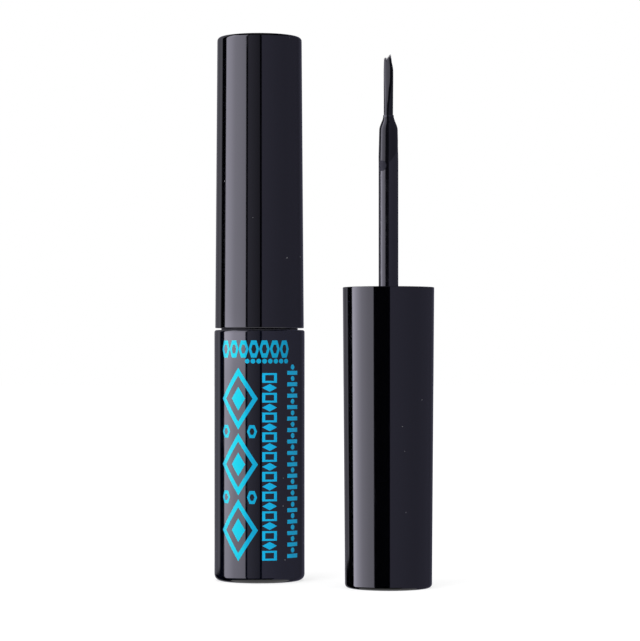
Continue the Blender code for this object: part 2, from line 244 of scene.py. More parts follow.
class Graph:
    """A node tree under construction."""

    COLOUR_PARTS = 3

    def __init__(self, tree: bpy.types.NodeTree) -> None:
        """Starts on an emptied tree."""
        self.tree = tree
        tree.nodes.clear()

    @staticmethod
    def socket(sockets: Sequence[bpy.types.NodeSocket], key: str | int) -> bpy.types.NodeSocket:
        """Finds a socket in use.

        Args:
            sockets: A node's inputs or outputs.
            key: The socket's name, or its number.

        Returns:
            The socket.
        """
        if isinstance(key, int):
            return sockets[key]
        return next(item for item in sockets if item.name == key and item.enabled)

    def node(
        self,
        kind: str,
        settings: Mapping[str, object] | None = None,
        inputs: Mapping[str | int, object] | None = None,
    ) -> Handle:
        """Adds a node.

        Args:
            kind: The node's type.
            settings: Its properties, set first. The stops of a ramp are pairs of place and colour.
            inputs: A value or a Wire for each socket that isn't left as it is.

        Returns:
            The node's handle.
        """
        made = self.tree.nodes.new(kind)
        for name, value in (settings or {}).items():
            setattr(made, name, value)
        for key, value in (inputs or {}).items():
            socket = self.socket(made.inputs, key)
            if isinstance(value, Wire):
                self.tree.links.new(value.socket, socket)
            elif socket.type == "VECTOR" and isinstance(value, (int, float)):
                socket.default_value = (value, value, value)
            elif socket.type == "RGBA" and len(value) == self.COLOUR_PARTS:
                socket.default_value = (*value, 1.0)
            else:
                socket.default_value = value
        return Handle(self, made)

    def vector(self, x: "Wire | float", y: "Wire | float", z: "Wire | float") -> Wire:
        """A vector from three values."""
        return self.node("ShaderNodeCombineXYZ", {}, {"X": x, "Y": y, "Z": z})["Vector"]

    def mixed(self, share: "Wire | float", first: "Wire | Colour", second: "Wire | Colour") -> Wire:
        """A colour that goes from the first to the second as the share rises from zero to one."""
        settings = {"data_type": "RGBA"}
        return self.node("ShaderNodeMix", settings, {"Factor": share, "A": first, "B": second})["Result"]


class Recipe(Graph):
    """A Geometry Nodes tree with named inputs, which ends in a realised, dressed mesh."""

    KINDS = {float: "NodeSocketFloat", int: "NodeSocketInt", type(None): "NodeSocketMaterial"}

    def __init__(self, name: str) -> None:
        """Starts a tree that takes a geometry and gives one.

        Args:
            name: The tree's name.
        """
        super().__init__(bpy.data.node_groups.new(name, "GeometryNodeTree"))
        self.identifiers: dict[str, str] = {}
        for way in ("INPUT", "OUTPUT"):
            self.tree.interface.new_socket(name="Geometry", in_out=way, socket_type="NodeSocketGeometry")
        self.entry = self.node("NodeGroupInput")
        self.finish = self.asks("Finish", None)

    def asks(self, name: str, default: float | int | None) -> Wire:
        """Adds a named input.

        Args:
            name: The input's name.
            default: Its default, a number of the input's kind, or None for a material.

        Returns:
            The input as a Wire.
        """
        kind = self.KINDS[type(default)]
        made = self.tree.interface.new_socket(name=name, in_out="INPUT", socket_type=kind)
        if default is not None:
            made.default_value = default
        self.identifiers[name] = made.identifier
        return self.entry[name]

    @property
    def position(self) -> Wire:
        """Each point's position."""
        return self.node("GeometryNodeInputPosition")["Position"]

    def joined(self, first: Wire, second: Wire) -> Wire:
        """Joins two geometries.

        Args:
            first: One of them.
            second: The other.

        Returns:
            One geometry.
        """
        both = self.node("GeometryNodeJoinGeometry", {}, {"Geometry": first})
        self.tree.links.new(second.socket, both.made.inputs[0])
        return both["Geometry"]

    def realised(self, points: Wire, instance: Wire) -> Wire:
        """Copies of one geometry on points, as geometry of their own."""
        copies = self.node("GeometryNodeInstanceOnPoints", {}, {"Points": points, "Instance": instance})
        return self.node("GeometryNodeRealizeInstances", {}, {"Geometry": copies["Instances"]})["Geometry"]

    def moved(self, geometry: Wire, position: Wire) -> Wire:
        """The geometry with each point at a new position."""
        inputs = {"Geometry": geometry, "Position": position}
        return self.node("GeometryNodeSetPosition", {}, inputs)["Geometry"]

    def stored(self, geometry: Wire, name: str, value: Wire) -> Wire:
        """Keeps a value on each point.

        Args:
            geometry: The points' geometry.
            name: The name that the value is kept under.
            value: A number or a vector.

        Returns:
            The geometry with the value.
        """
        settings = {"data_type": "FLOAT_VECTOR"} if value.socket.type == "VECTOR" else {}
        inputs = {"Geometry": geometry, "Name": name, "Value": value}
        return self.node("GeometryNodeStoreNamedAttribute", settings, inputs)["Geometry"]

    def ends(self, geometry: Wire) -> "Recipe":
        """Closes the tree: smooth faces, real instances, the finish.

        Args:
            geometry: What the tree made.

        Returns:
            The recipe itself.
        """
        smooth = self.node("GeometryNodeSetShadeSmooth", {}, {"Geometry": geometry})["Geometry"]
        real = self.node("GeometryNodeRealizeInstances", {}, {"Geometry": smooth})["Geometry"]
        inputs = {"Geometry": real, "Material": self.finish}
        dressed = self.node("GeometryNodeSetMaterial", {}, inputs)["Geometry"]
        self.node("NodeGroupOutput", {}, {"Geometry": dressed})
        return self

    def follow(self, piece: bpy.types.Object, values: Mapping[str, object]) -> None:
        """Puts the tree on an object as a modifier.

        Args:
            piece: The object.
            values: A value for each named input that isn't left at its default.
        """
        modifier = piece.modifiers.new(self.tree.name, "NODES")
        modifier.node_group = self.tree
        for name, value in values.items():
            modifier[self.identifiers[name]] = value


@cache
def turning() -> Recipe:
    """A lathe: turns the object's own points, the half section, round the Z axis.

    Returns:
        The recipe.
    """
    recipe = Recipe("turning")
    rows = recipe.asks("Rows", 2)
    columns = recipe.asks("Columns", 3)
    weld = recipe.asks("Weld", 0.0)
    grid = recipe.node("GeometryNodeMeshGrid", {}, {"Vertices X": rows, "Vertices Y": columns})["Mesh"]
    index = recipe.node("GeometryNodeInputIndex")["Index"]
    row = (index / columns).does("FLOOR")
    column = index - row * columns
    settings = {"data_type": "FLOAT_VECTOR"}
    inputs = {"Geometry": recipe.entry["Geometry"], "Value": recipe.position, "Index": row}
    profile = recipe.node("GeometryNodeSampleIndex", settings, inputs)["Value"]
    angle = column / (columns - 1) * math.tau
    settings = {"rotation_type": "Z_AXIS"}
    turned_point = recipe.node("ShaderNodeVectorRotate", settings, {"Vector": profile, "Angle": angle})
    inputs = {"Geometry": recipe.moved(grid, turned_point["Vector"]), "Distance": weld}
    return recipe.ends(recipe.node("GeometryNodeMergeByDistance", {}, inputs)["Geometry"])


@cache
def threading() -> Recipe:
    """A screw thread: lifts the points of a round wall along a helix, with soft run-outs.

    Returns:
        The recipe.
    """
    recipe = Recipe("threading")
    wall = recipe.asks("Wall radius", 0.0)
    depth = recipe.asks("Depth", 0.0)
    bottom = recipe.asks("Bottom", 0.0)
    top = recipe.asks("Top", 0.0)
    datum = recipe.asks("Datum height", 0.0)
    lead = recipe.asks("Lead", 1.0)
    starts = recipe.asks("Starts", 1)
    half_width = recipe.asks("Half width", 0.0)
    run_out = recipe.asks("Run-out", 0.0)
    tolerance = recipe.asks("Tolerance", 0.0)
    position = recipe.position
    x, y, z = (position.part(axis) for axis in "XYZ")
    radius = (x * x + y * y).does("SQRT")
    turns = y.does("ARCTAN2", x) / math.tau
    phase = (((z - datum) / lead - turns) * starts + 0.5).does("FRACT") - 0.5
    from_ridge = phase.does("ABSOLUTE") * lead / starts
    ridge = 1 - from_ridge.eased(0.0, half_width)
    inside = z.eased(bottom, bottom + run_out) * (1 - z.eased(top - run_out, top))
    on_wall = (radius - wall).does("ABSOLUTE") < tolerance
    lift = ridge * inside * on_wall * depth / radius
    offset = recipe.vector(x * lift, y * lift, 0.0)
    inputs = {"Geometry": recipe.entry["Geometry"], "Offset": offset}
    return recipe.ends(recipe.node("GeometryNodeSetPosition", {}, inputs)["Geometry"])


@cache
def printing() -> Recipe:
    """A run of one flat motif, repeated in a line and wrapped round a barrel.

    Returns:
        The recipe.
    """
    recipe = Recipe("printing")
    sides = recipe.asks("Sides", 4)
    turn = recipe.asks("Turn", 0.0)
    width = recipe.asks("Width scale", 1.0)
    height = recipe.asks("Height scale", 1.0)
    hole = recipe.asks("Hole share", 0.0)
    count = recipe.asks("Count", 1)
    arc = recipe.asks("Arc", 0.0)
    level = recipe.asks("Level", 0.0)
    arc_step = recipe.asks("Arc step", 0.0)
    level_step = recipe.asks("Level step", 0.0)
    barrel = recipe.asks("Barrel radius", 1.0)
    sunk = recipe.asks("Sunk", 0.0)
    thickness = recipe.asks("Thickness", 0.0)
    fineness = recipe.asks("Fineness", 3)
    circle = recipe.node("GeometryNodeCurvePrimitiveCircle", {}, {"Resolution": sides})["Curve"]
    inputs = {"Geometry": circle, "Rotation": recipe.vector(0.0, 0.0, turn)}
    turned_motif = recipe.node("GeometryNodeTransform", {}, inputs)["Geometry"]
    inputs = {"Geometry": turned_motif, "Scale": recipe.vector(width, height, 1.0)}
    outer = recipe.node("GeometryNodeTransform", {}, inputs)["Geometry"]
    inputs = {"Geometry": outer, "Scale": recipe.vector(hole, hole, 1.0)}
    inner = recipe.node("GeometryNodeTransform", {}, inputs)["Geometry"]
    inputs = {"Switch": hole > 0.0, "False": outer, "True": recipe.joined(inner, outer)}
    motif = recipe.node("GeometryNodeSwitch", {"input_type": "GEOMETRY"}, inputs)["Output"]
    flat = recipe.node("GeometryNodeFillCurve", {}, {"Curve": motif})["Mesh"]
    fine = recipe.node("GeometryNodeSubdivideMesh", {}, {"Mesh": flat, "Level": fineness})["Mesh"]
    inputs = {"Mesh": fine, "Offset": (0.0, 0.0, 1.0), "Offset Scale": thickness, "Individual": False}
    raised = recipe.node("GeometryNodeExtrudeMesh", {}, inputs)["Mesh"]
    back = recipe.node("GeometryNodeFlipFaces", {}, {"Mesh": fine})["Mesh"]
    settings = {"mode": "OFFSET"}
    step = recipe.vector(arc_step, level_step, 0.0)
    inputs = {"Count": count, "Start Location": recipe.vector(arc, level, 0.0), "Offset": step}
    places = recipe.node("GeometryNodeMeshLine", settings, inputs)["Mesh"]
    real = recipe.realised(places, recipe.joined(raised, back))
    position = recipe.position
    angle = position.part("X") / barrel
    radius = barrel - sunk + position.part("Z")
    across = angle.does("SINE") * radius
    away = angle.does("COSINE") * radius * -1.0
    return recipe.ends(recipe.moved(real, recipe.vector(across, away, position.part("Y"))))


@cache
def bristling() -> Recipe:
    """A tuft: tapered fibres on a round plug, drawn together into wet locks at their tips.

    Returns:
        The recipe.
    """
    recipe = Recipe("bristling")
    root_radius = recipe.asks("Root radius", 0.0)
    length = recipe.asks("Length", 0.0)
    fibre_radius = recipe.asks("Fibre radius", 0.0)
    spacing = recipe.asks("Spacing", 0.0)
    swell = recipe.asks("Swell share", 1.0)
    tip_spread = recipe.asks("Tip spread share", 1.0)
    full_share = recipe.asks("Full width share", 0.5)
    lock_size = recipe.asks("Lock size", 0.001)
    lock_pull = recipe.asks("Lock pull share", 0.0)
    ragged = recipe.asks("Ragged share", 0.0)
    plug_depth = recipe.asks("Plug depth", 0.0)
    seed = recipe.asks("Seed", 0)
    inputs = {"Vertices": PLUG_SIDES, "Radius": root_radius - fibre_radius}
    disc = recipe.node("GeometryNodeMeshCircle", {"fill_type": "NGON"}, inputs)["Mesh"]
    settings = {"distribute_method": "POISSON"}
    density = TRIES_PER_FIBRE / (spacing * spacing)
    inputs = {"Mesh": disc, "Distance Min": spacing, "Density Max": density, "Seed": seed}
    points = recipe.node("GeometryNodeDistributePointsOnFaces", settings, inputs)["Points"]
    rooted = recipe.stored(points, "root", recipe.position)
    draw = recipe.node("FunctionNodeRandomValue", {}, {"Seed": seed})["Value"]
    line = recipe.node("GeometryNodeCurvePrimitiveLine", {}, {"End": (0.0, 0.0, 1.0)})["Curve"]
    strand = recipe.node("GeometryNodeResampleCurve", {}, {"Curve": line, "Count": FIBRE_POINTS})["Curve"]
    real = recipe.realised(recipe.stored(rooted, "draw", draw), strand)
    settings = {"data_type": "FLOAT_VECTOR"}
    root = recipe.node("GeometryNodeInputNamedAttribute", settings, {"Name": "root"})["Attribute"]
    chance = recipe.node("GeometryNodeInputNamedAttribute", {}, {"Name": "draw"})["Attribute"]
    along = recipe.node("GeometryNodeSplineParameter")["Factor"]
    x, y = root.part("X"), root.part("Y")
    settings = {"voronoi_dimensions": "3D", "feature": "F1"}
    inputs = {"Vector": root, "Scale": 1 / lock_size, "Randomness": LOCK_RANDOMNESS}
    lock = recipe.node("ShaderNodeTexVoronoi", settings, inputs)["Position"]
    pull = lock_pull * along ** 2
    spread = 1 + (swell - 1) * along.eased(0.0, full_share)
    narrowed = spread * (1 - (1 - tip_spread) * along.eased(full_share, 1.0))
    new_x = (x + (lock.part("X") - x) * pull) * narrowed
    new_y = (y + (lock.part("Y") - y) * pull) * narrowed
    new_z = length * along * (1 - ragged * chance)
    bent = recipe.moved(real, recipe.vector(new_x, new_y, new_z))
    taper = 1 - along ** 3 * FIBRE_THINNING_SHARE
    thinned = recipe.node("GeometryNodeSetCurveRadius", {}, {"Curve": bent, "Radius": taper})["Curve"]
    inputs = {"Resolution": FIBRE_SIDES, "Radius": fibre_radius}
    section = recipe.node("GeometryNodeCurvePrimitiveCircle", {}, inputs)["Curve"]
    inputs = {"Curve": thinned, "Profile Curve": section, "Scale": taper, "Fill Caps": True}
    fibres = recipe.node("GeometryNodeCurveToMesh", {}, inputs)["Mesh"]
    inputs = {"Vertices": PLUG_SIDES, "Radius": root_radius, "Depth": plug_depth}
    plug = recipe.node("GeometryNodeMeshCylinder", {}, inputs)["Mesh"]
    inputs = {"Geometry": plug, "Translation": recipe.vector(0.0, 0.0, plug_depth * -0.5)}
    seated = recipe.node("GeometryNodeTransform", {}, inputs)["Geometry"]
    return recipe.ends(recipe.joined(fibres, seated))


@dataclass(frozen=True)
class Finish(ABC):
    """A surface finish, whose material is made once."""

    name: str

    def material(self) -> bpy.types.Material:
        """Makes the finish's material when it is first asked for.

        Returns:
            The material.
        """
        known = bpy.data.materials.get(self.name)
        if known is not None:
            return known
        made = bpy.data.materials.new(self.name)
        made.use_nodes = True
        graph = Graph(made.node_tree)
        graph.node("ShaderNodeOutputMaterial", {}, {"Surface": self.surface(graph)})
        return made

    @abstractmethod
    def surface(self, graph: Graph) -> Wire:
        """Builds the nodes of the finish.

        Args:
            graph: The material's graph.

        Returns:
            The shader.
        """

    @staticmethod
    def principled(graph: Graph, inputs: Mapping[str, object]) -> Wire:
        """The main shader with the given inputs."""
        return graph.node("ShaderNodeBsdfPrincipled", {}, inputs)["BSDF"]

    @staticmethod
    def times(factor: float, colour: Colour) -> Colour:
        """A colour with each part multiplied."""
        return tuple(factor * part for part in colour)

    @staticmethod
    def coordinates(
        graph: Graph, stretch: Triple = (1.0, 1.0, 1.0), centre: Triple = (0.0, 0.0, 0.0)
    ) -> Wire:
        """Object coordinates, centred on a point and stretched.

        Args:
            graph: The material's graph.
            stretch: The scale along each axis.
            centre: The point that becomes the origin.

        Returns:
            The coordinates.
        """
        own = graph.node("ShaderNodeTexCoord")["Object"]
        location = tuple(-middle * scale for middle, scale in zip(centre, stretch))
        inputs = {"Vector": own, "Location": location, "Scale": stretch}
        return graph.node("ShaderNodeMapping", {}, inputs)[0]

    @staticmethod
    def noise(graph: Graph, size: float, detail: float = 2.0, stretch: Triple = (1.0, 1.0, 1.0)) -> Wire:
        """Soft noise from zero to one whose patches have about the given size."""
        inputs = {"Vector": Finish.coordinates(graph, stretch), "Scale": 1 / size, "Detail": detail}
        return graph.node("ShaderNodeTexNoise", {}, inputs)["Fac"]

    @staticmethod
    def bump(graph: Graph, height: Wire, depth: float) -> Wire:
        """A normal from a height of zero to one that stands for a real depth."""
        return graph.node("ShaderNodeBump", {}, {"Height": height, "Distance": depth})["Normal"]


@dataclass(frozen=True)
class PolishedPlastic(Finish):
    """Polished black moulding with faint finger smears, hairlines and a few flecks of dust."""

    colour: Colour
    roughness: float = 0.06
    ior: float = 1.5
    smear: float = 0.05
    smear_size: float = 0.007
    smear_edges: Span = (0.50, 0.75)
    dust_colour: Colour = (0.20, 0.20, 0.21)
    dust_roughness: float = 0.5
    dust_cell: float = 0.003
    dust_radius: float = 0.00011
    dusty_share: float = 0.5
    hairline_width: float = 0.00012
    hairline_length: float = 0.005
    hairline_depth: float = 0.0000004

    def surface(self, graph: Graph) -> Wire:
        """Builds the nodes of the finish.

        Args:
            graph: The material's graph.

        Returns:
            The shader.
        """
        smears = self.noise(graph, self.smear_size).eased(*self.smear_edges)
        inputs = {"Vector": self.coordinates(graph), "Scale": 1 / self.dust_cell}
        cells = graph.node("ShaderNodeTexVoronoi", {}, inputs)
        fleck = (cells["Distance"] < self.dust_radius / self.dust_cell) * (
            cells["Color"].part("X") > 1 - self.dusty_share
        )
        wide = 1 / self.hairline_width
        long = 1 / self.hairline_length
        lines = self.noise(graph, size=1.0, detail=1.0, stretch=(wide, wide, long))
        inputs = {
            "Base Color": graph.mixed(fleck, self.colour, self.dust_colour),
            "Roughness": self.roughness + self.smear * smears + self.dust_roughness * fleck,
            "IOR": self.ior,
            "Normal": self.bump(graph, lines, self.hairline_depth),
        }
        return self.principled(graph, inputs)


@dataclass(frozen=True)
class SatinMoulding(Finish):
    """Plain moulded plastic with a fine spark-eroded texture."""

    colour: Colour
    roughness: float = 0.34
    grain: float = 0.00018
    grain_detail: float = 3.0
    grain_depth: float = 0.000006
    grain_roughness: float = 0.16
    shade_size: float = 0.004
    shade_gain: float = 1.7
    specular: float = 0.5

    def surface(self, graph: Graph) -> Wire:
        """Builds the nodes of the finish.

        Args:
            graph: The material's graph.

        Returns:
            The shader.
        """
        grain = self.noise(graph, self.grain, self.grain_detail)
        shade = self.noise(graph, self.shade_size)
        inputs = {
            "Base Color": graph.mixed(shade, self.colour, self.times(self.shade_gain, self.colour)),
            "Specular IOR Level": self.specular,
            "Roughness": self.roughness + self.grain_roughness * grain,
            "Normal": self.bump(graph, grain, self.grain_depth),
        }
        return self.principled(graph, inputs)


@dataclass(frozen=True)
class MilkyRubber(Finish):
    """The wiper's soft milky plastic, stained by liner where the stem is wiped."""

    colour: Colour
    stain: Colour
    axis: Vector
    lip_height: float
    clean_height: float
    bore: float
    wall: float
    smudge_size: float = 0.0007
    smudge_detail: float = 3.0
    smudge_edges: Span = (0.30, 0.62)
    outer_stain: float = 0.35
    even_stain: float = 0.4
    stain_edges: Span = (0.15, 0.55)
    roughness: float = 0.5
    stain_gloss: float = 0.35
    depth_weight: float = 0.25
    depth_radius: float = 0.002
    grain: float = 0.0002
    grain_depth: float = 0.000004

    def surface(self, graph: Graph) -> Wire:
        """Builds the nodes of the finish.

        Args:
            graph: The material's graph.

        Returns:
            The shader.
        """
        place = self.coordinates(graph, centre=tuple(self.axis))
        x, y, z = (place.part(axis) for axis in "XYZ")
        radius = (x * x + y * y).does("SQRT")
        inner = 1 - radius.eased(self.bore, self.bore + self.wall)
        low = 1 - z.eased(self.lip_height, self.clean_height)
        smudge = self.noise(graph, self.smudge_size, self.smudge_detail).eased(*self.smudge_edges)
        stained = low * (self.outer_stain + inner) * (self.even_stain + smudge)
        stained = stained.eased(*self.stain_edges)
        inputs = {
            "Base Color": graph.mixed(stained, self.colour, self.stain),
            "Roughness": self.roughness - self.stain_gloss * stained,
            "Subsurface Weight": self.depth_weight,
            "Subsurface Radius": (self.depth_radius,) * 3,
            "Normal": self.bump(graph, self.noise(graph, self.grain), self.grain_depth),
        }
        return self.principled(graph, inputs)


@dataclass(frozen=True)
class WetLiner(Finish):
    """Liquid liner: black, wet and gently uneven."""

    colour: Colour
    roughness: float = 0.04
    ior: float = 1.35
    ripple: float = 0.0009
    ripple_depth: float = 0.000012
    ripple_roughness: float = 0.05
    ripple_gain: float = 2.0

    def surface(self, graph: Graph) -> Wire:
        """Builds the nodes of the finish.

        Args:
            graph: The material's graph.

        Returns:
            The shader.
        """
        ripples = self.noise(graph, self.ripple)
        inputs = {
            "Base Color": graph.mixed(ripples, self.colour, self.times(self.ripple_gain, self.colour)),
            "Roughness": self.roughness + self.ripple_roughness * ripples,
            "IOR": self.ior,
            "Normal": self.bump(graph, ripples, self.ripple_depth),
        }
        return self.principled(graph, inputs)


@dataclass(frozen=True)
class CoatedRod(Finish):
    """The stem: black moulding with streaks of dried and wet liner along it."""

    colour: Colour
    roughness: float = 0.07
    streak_width: float = 0.0003
    streak_length: float = 0.004
    streak_gain: float = 2.2
    patch_size: float = 0.0022
    patch_detail: float = 3.0
    patch_edges: Span = (0.42, 0.62)
    patch_roughness: float = 0.16
    relief: float = 0.000004

    def surface(self, graph: Graph) -> Wire:
        """Builds the nodes of the finish.

        Args:
            graph: The material's graph.

        Returns:
            The shader.
        """
        wide = 1 / self.streak_width
        long = 1 / self.streak_length
        streaks = self.noise(graph, size=1.0, stretch=(wide, wide, long))
        patches = self.noise(graph, self.patch_size, self.patch_detail).eased(*self.patch_edges)
        inputs = {
            "Base Color": graph.mixed(streaks, self.colour, self.times(self.streak_gain, self.colour)),
            "Roughness": self.roughness + self.patch_roughness * patches,
            "Normal": self.bump(graph, streaks + patches, self.relief),
        }
        return self.principled(graph, inputs)


@dataclass(frozen=True)
class WetFibre(Finish):
    """Brush fibres, dark and wet with liner, a little browner and drier towards the tip."""

    colour: Colour
    dry_colour: Colour
    root_height: float
    tip_height: float
    patch_size: float = 0.0005
    patch_edges: Span = (0.35, 0.70)
    roughness: float = 0.22
    dry_roughness: float = 0.2

    def surface(self, graph: Graph) -> Wire:
        """Builds the nodes of the finish.

        Args:
            graph: The material's graph.

        Returns:
            The shader.
        """
        height = self.coordinates(graph).part("Z")
        to_tip = height.eased(self.root_height, self.tip_height)
        dry = to_tip * self.noise(graph, self.patch_size).eased(*self.patch_edges)
        inputs = {
            "Base Color": graph.mixed(dry, self.colour, self.dry_colour),
            "Roughness": self.roughness + self.dry_roughness * dry,
        }
        return self.principled(graph, inputs)


@dataclass(frozen=True)
class BlankFilm(Finish):
    """A blank satin film, a little mottled by its glue."""

    colour: Colour
    mottle_size: float = 0.0012
    mottle_detail: float = 4.0
    mottle_gain: float = 0.86
    mottle_depth: float = 0.000008
    mottle_roughness: float = 0.12
    roughness: float = 0.38

    def surface(self, graph: Graph) -> Wire:
        """Builds the nodes of the finish.

        Args:
            graph: The material's graph.

        Returns:
            The shader.
        """
        mottle = self.noise(graph, self.mottle_size, self.mottle_detail)
        inputs = {
            "Base Color": graph.mixed(mottle, self.colour, self.times(self.mottle_gain, self.colour)),
            "Roughness": self.roughness + self.mottle_roughness * mottle,
            "Normal": self.bump(graph, mottle, self.mottle_depth),
        }
        return self.principled(graph, inputs)


@dataclass(frozen=True)
class ScreenInk(Finish):
    """Screen-printed ink with a coloured sheen, thinner in specks where the mesh left it."""

    colour: Colour
    thin_colour: Colour
    sheen: Colour
    pearl: float = 0.04
    roughness: float = 0.26
    ior: float = 1.6
    specular: float = 1.0
    mesh: float = 0.00011
    thin_edges: Span = (0.60, 0.78)
    thin_roughness: float = 0.12

    def surface(self, graph: Graph) -> Wire:
        """Builds the nodes of the finish.

        Args:
            graph: The material's graph.

        Returns:
            The shader.
        """
        thin = self.noise(graph, self.mesh, detail=1.0).eased(*self.thin_edges)
        inputs = {
            "Base Color": graph.mixed(thin, self.colour, self.thin_colour),
            "Roughness": self.roughness + self.thin_roughness * thin,
            "Metallic": self.pearl,
            "IOR": self.ior,
            "Specular IOR Level": self.specular,
            "Specular Tint": self.sheen,
        }
        return self.principled(graph, inputs)


WHITE = (1.0, 1.0, 1.0)


def shown(graph: Graph) -> Wire:
    """One for rays from the camera and for those that gloss or glass sends on, else zero."""
    path = graph.node("ShaderNodeLightPath")
    return path["Is Camera Ray"] + path["Is Glossy Ray"] + path["Is Transmission Ray"]


@dataclass(frozen=True)
class StudioFloor(Finish):
    """The white floor, bright to the camera, with a diffuse share that shows shadows."""

    glow: float = 0.66
    albedo: float = 0.34

    def surface(self, graph: Graph) -> Wire:
        """Builds the nodes of the finish.

        Args:
            graph: The material's graph.

        Returns:
            The shader.
        """
        inputs = {"Color": WHITE, "Strength": shown(graph) * self.glow}
        glow = graph.node("ShaderNodeEmission", {}, inputs)[0]
        matt = graph.node("ShaderNodeBsdfDiffuse", {}, {"Color": (self.albedo,) * 3})[0]
        return graph.node("ShaderNodeAddShader", {}, {0: glow, 1: matt})[0]


@dataclass(frozen=True)
class CardGlow(Finish):
    """The glow of the light cards, from each point's own colour."""

    see_through: bool = False

    def surface(self, graph: Graph) -> Wire:
        """Builds the nodes of the finish.

        Args:
            graph: The material's graph.

        Returns:
            The shader.
        """
        own = graph.node("ShaderNodeAttribute", {"attribute_name": "glow"})["Color"]
        glow = graph.node("ShaderNodeEmission", {}, {"Color": own})[0]
        if not self.see_through:
            return glow
        clear = graph.node("ShaderNodeBsdfTransparent")[0]
        return graph.node("ShaderNodeAddShader", {}, {0: glow, 1: clear})[0]


POLISHED_CAP = PolishedPlastic("polished_cap", (0.0007, 0.0007, 0.0013))
POLISHED_CASE = PolishedPlastic("polished_case", (0.0013, 0.0018, 0.0048), ior=1.54)
SATIN_INSERT = SatinMoulding("satin_insert", (0.012, 0.012, 0.014))
# The vial's near-black colour and low specular are partly its smoky plastic and partly painted shade in the
# seam between cap and case.
SMOKY_VIAL_AND_SEAM_SHADE = SatinMoulding(
    "smoky_vial", (0.0012, 0.0012, 0.0018), roughness=0.36, grain_depth=0.000001, specular=0.06
)
BLANK_FILM = BlankFilm("blank_film", (0.55, 0.56, 0.58))
LINER = WetLiner("wet_liner", (0.002, 0.002, 0.003))
DRIED_LINER = SatinMoulding("dried_liner", (0.007, 0.007, 0.011), roughness=0.42, specular=0.15)
STEM = CoatedRod("coated_stem", (0.002, 0.002, 0.003))
CYAN_INK = ScreenInk("cyan_ink", (0.010, 0.385, 0.74), (0.007, 0.26, 0.53), (0.02, 1.0, 0.05))
BLUE_INK = ScreenInk("blue_ink", (0.013, 0.49, 0.92), (0.009, 0.34, 0.66), (0.02, 1.0, 0.5))


@dataclass(frozen=True)
class Extent:
    """The axis, radius and heights of a turned CAD node."""

    axis: Vector
    radius: float
    bottom: float
    top: float

    @classmethod
    def of(cls, node: str) -> "Extent":
        """Reads a node's box.

        Args:
            node: The CAD node's name.

        Returns:
            Its extent.
        """
        low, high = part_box(node)
        middle = (low + high) / 2
        return cls(Vector((middle.x, middle.y, 0)), (high.x - low.x) / 2, low.z, high.z)


@dataclass
class Outline:
    """The half section of a turned piece: corners that run down its outer side."""

    closed: bool = False
    arc_steps: int = 8
    guard: float = 0.00006
    least_guards: float = 6.0
    reach_share: float = 0.48
    corners: list[tuple[Vector, float, int]] = field(default_factory=list)

    def to(self, radius: float, height: float, fillet: float = 0.0, rows: int = 1) -> "Outline":
        """Adds a corner.

        Args:
            radius: Its distance from the axis.
            height: Its height.
            fillet: The radius that rounds it.
            rows: How many rows of faces the stretch after it has.

        Returns:
            The outline itself.
        """
        self.corners.append((Vector((radius, height)), fillet, rows))
        return self

    def points(self) -> list[Vector]:
        """Draws the section, with arcs at the fillets and guard rows that keep flat walls flat in shade.

        Returns:
            All its points, in order.
        """
        arcs = [self._arc(index) for index in range(len(self.corners))]
        drawn: list[Vector] = []
        for index, arc in enumerate(arcs):
            drawn += arc
            if index + 1 < len(arcs) or self.closed:
                following = arcs[(index + 1) % len(arcs)][0]
                drawn += self._between(arc[-1], following, self.corners[index][2])
        if self.closed:
            drawn.append(arcs[0][0])
        return drawn

    def _between(self, start: Vector, end: Vector, rows: int) -> list[Vector]:
        """The points inside a straight stretch.

        Args:
            start: Where the stretch starts.
            end: Where it ends.
            rows: How many rows of faces it has.

        Returns:
            The points, without the stretch's own ends.
        """
        length = (end - start).length
        shares = [step / rows for step in range(1, rows)]
        if length > self.least_guards * self.guard:
            shares += [self.guard / length, 1 - self.guard / length]
        return [start.lerp(end, share) for share in sorted(shares)]

    def _arc(self, index: int) -> list[Vector]:
        """The points that round one corner.

        Args:
            index: The corner's place in the list.

        Returns:
            The points, or the corner alone where it isn't rounded.
        """
        here, fillet, _ = self.corners[index]
        last = len(self.corners) - 1
        if fillet == 0 or (not self.closed and index in (0, last)):
            return [here]
        back = self.corners[index - 1][0] - here
        ahead = self.corners[(index + 1) % (last + 1)][0] - here
        half = back.angle(ahead) / 2
        reach = min(fillet / math.tan(half), self.reach_share * min(back.length, ahead.length))
        radius = reach * math.tan(half)
        middle = (back.normalized() + ahead.normalized()).normalized()
        centre = here + middle * (radius / math.sin(half))
        start = here + back.normalized() * reach - centre
        end = here + ahead.normalized() * reach - centre
        sweep = start.angle_signed(end)
        first = math.atan2(start.y, start.x)
        angles = [first - sweep * step / self.arc_steps for step in range(self.arc_steps + 1)]
        return [centre + radius * Vector((math.cos(angle), math.sin(angle))) for angle in angles]


@dataclass(frozen=True)
class Thread:
    """A screw thread on a round wall; with a negative depth its ridge stands towards the axis."""

    wall_radius: float
    depth: float
    bottom: float
    top: float
    datum: float
    lead: float = 0.006
    starts: int = 2
    half_width: float = 0.00055
    run_out: float = 0.0008
    tolerance: float = 0.00002

    def inputs(self) -> dict[str, object]:
        """Names the thread's values for the threading recipe.

        Returns:
            The values under the names of the recipe's inputs.
        """
        return {
            "Wall radius": self.wall_radius,
            "Depth": self.depth,
            "Bottom": self.bottom,
            "Top": self.top,
            "Datum height": self.datum,
            "Lead": self.lead,
            "Starts": self.starts,
            "Half width": self.half_width,
            "Run-out": self.run_out,
            "Tolerance": self.tolerance,
        }


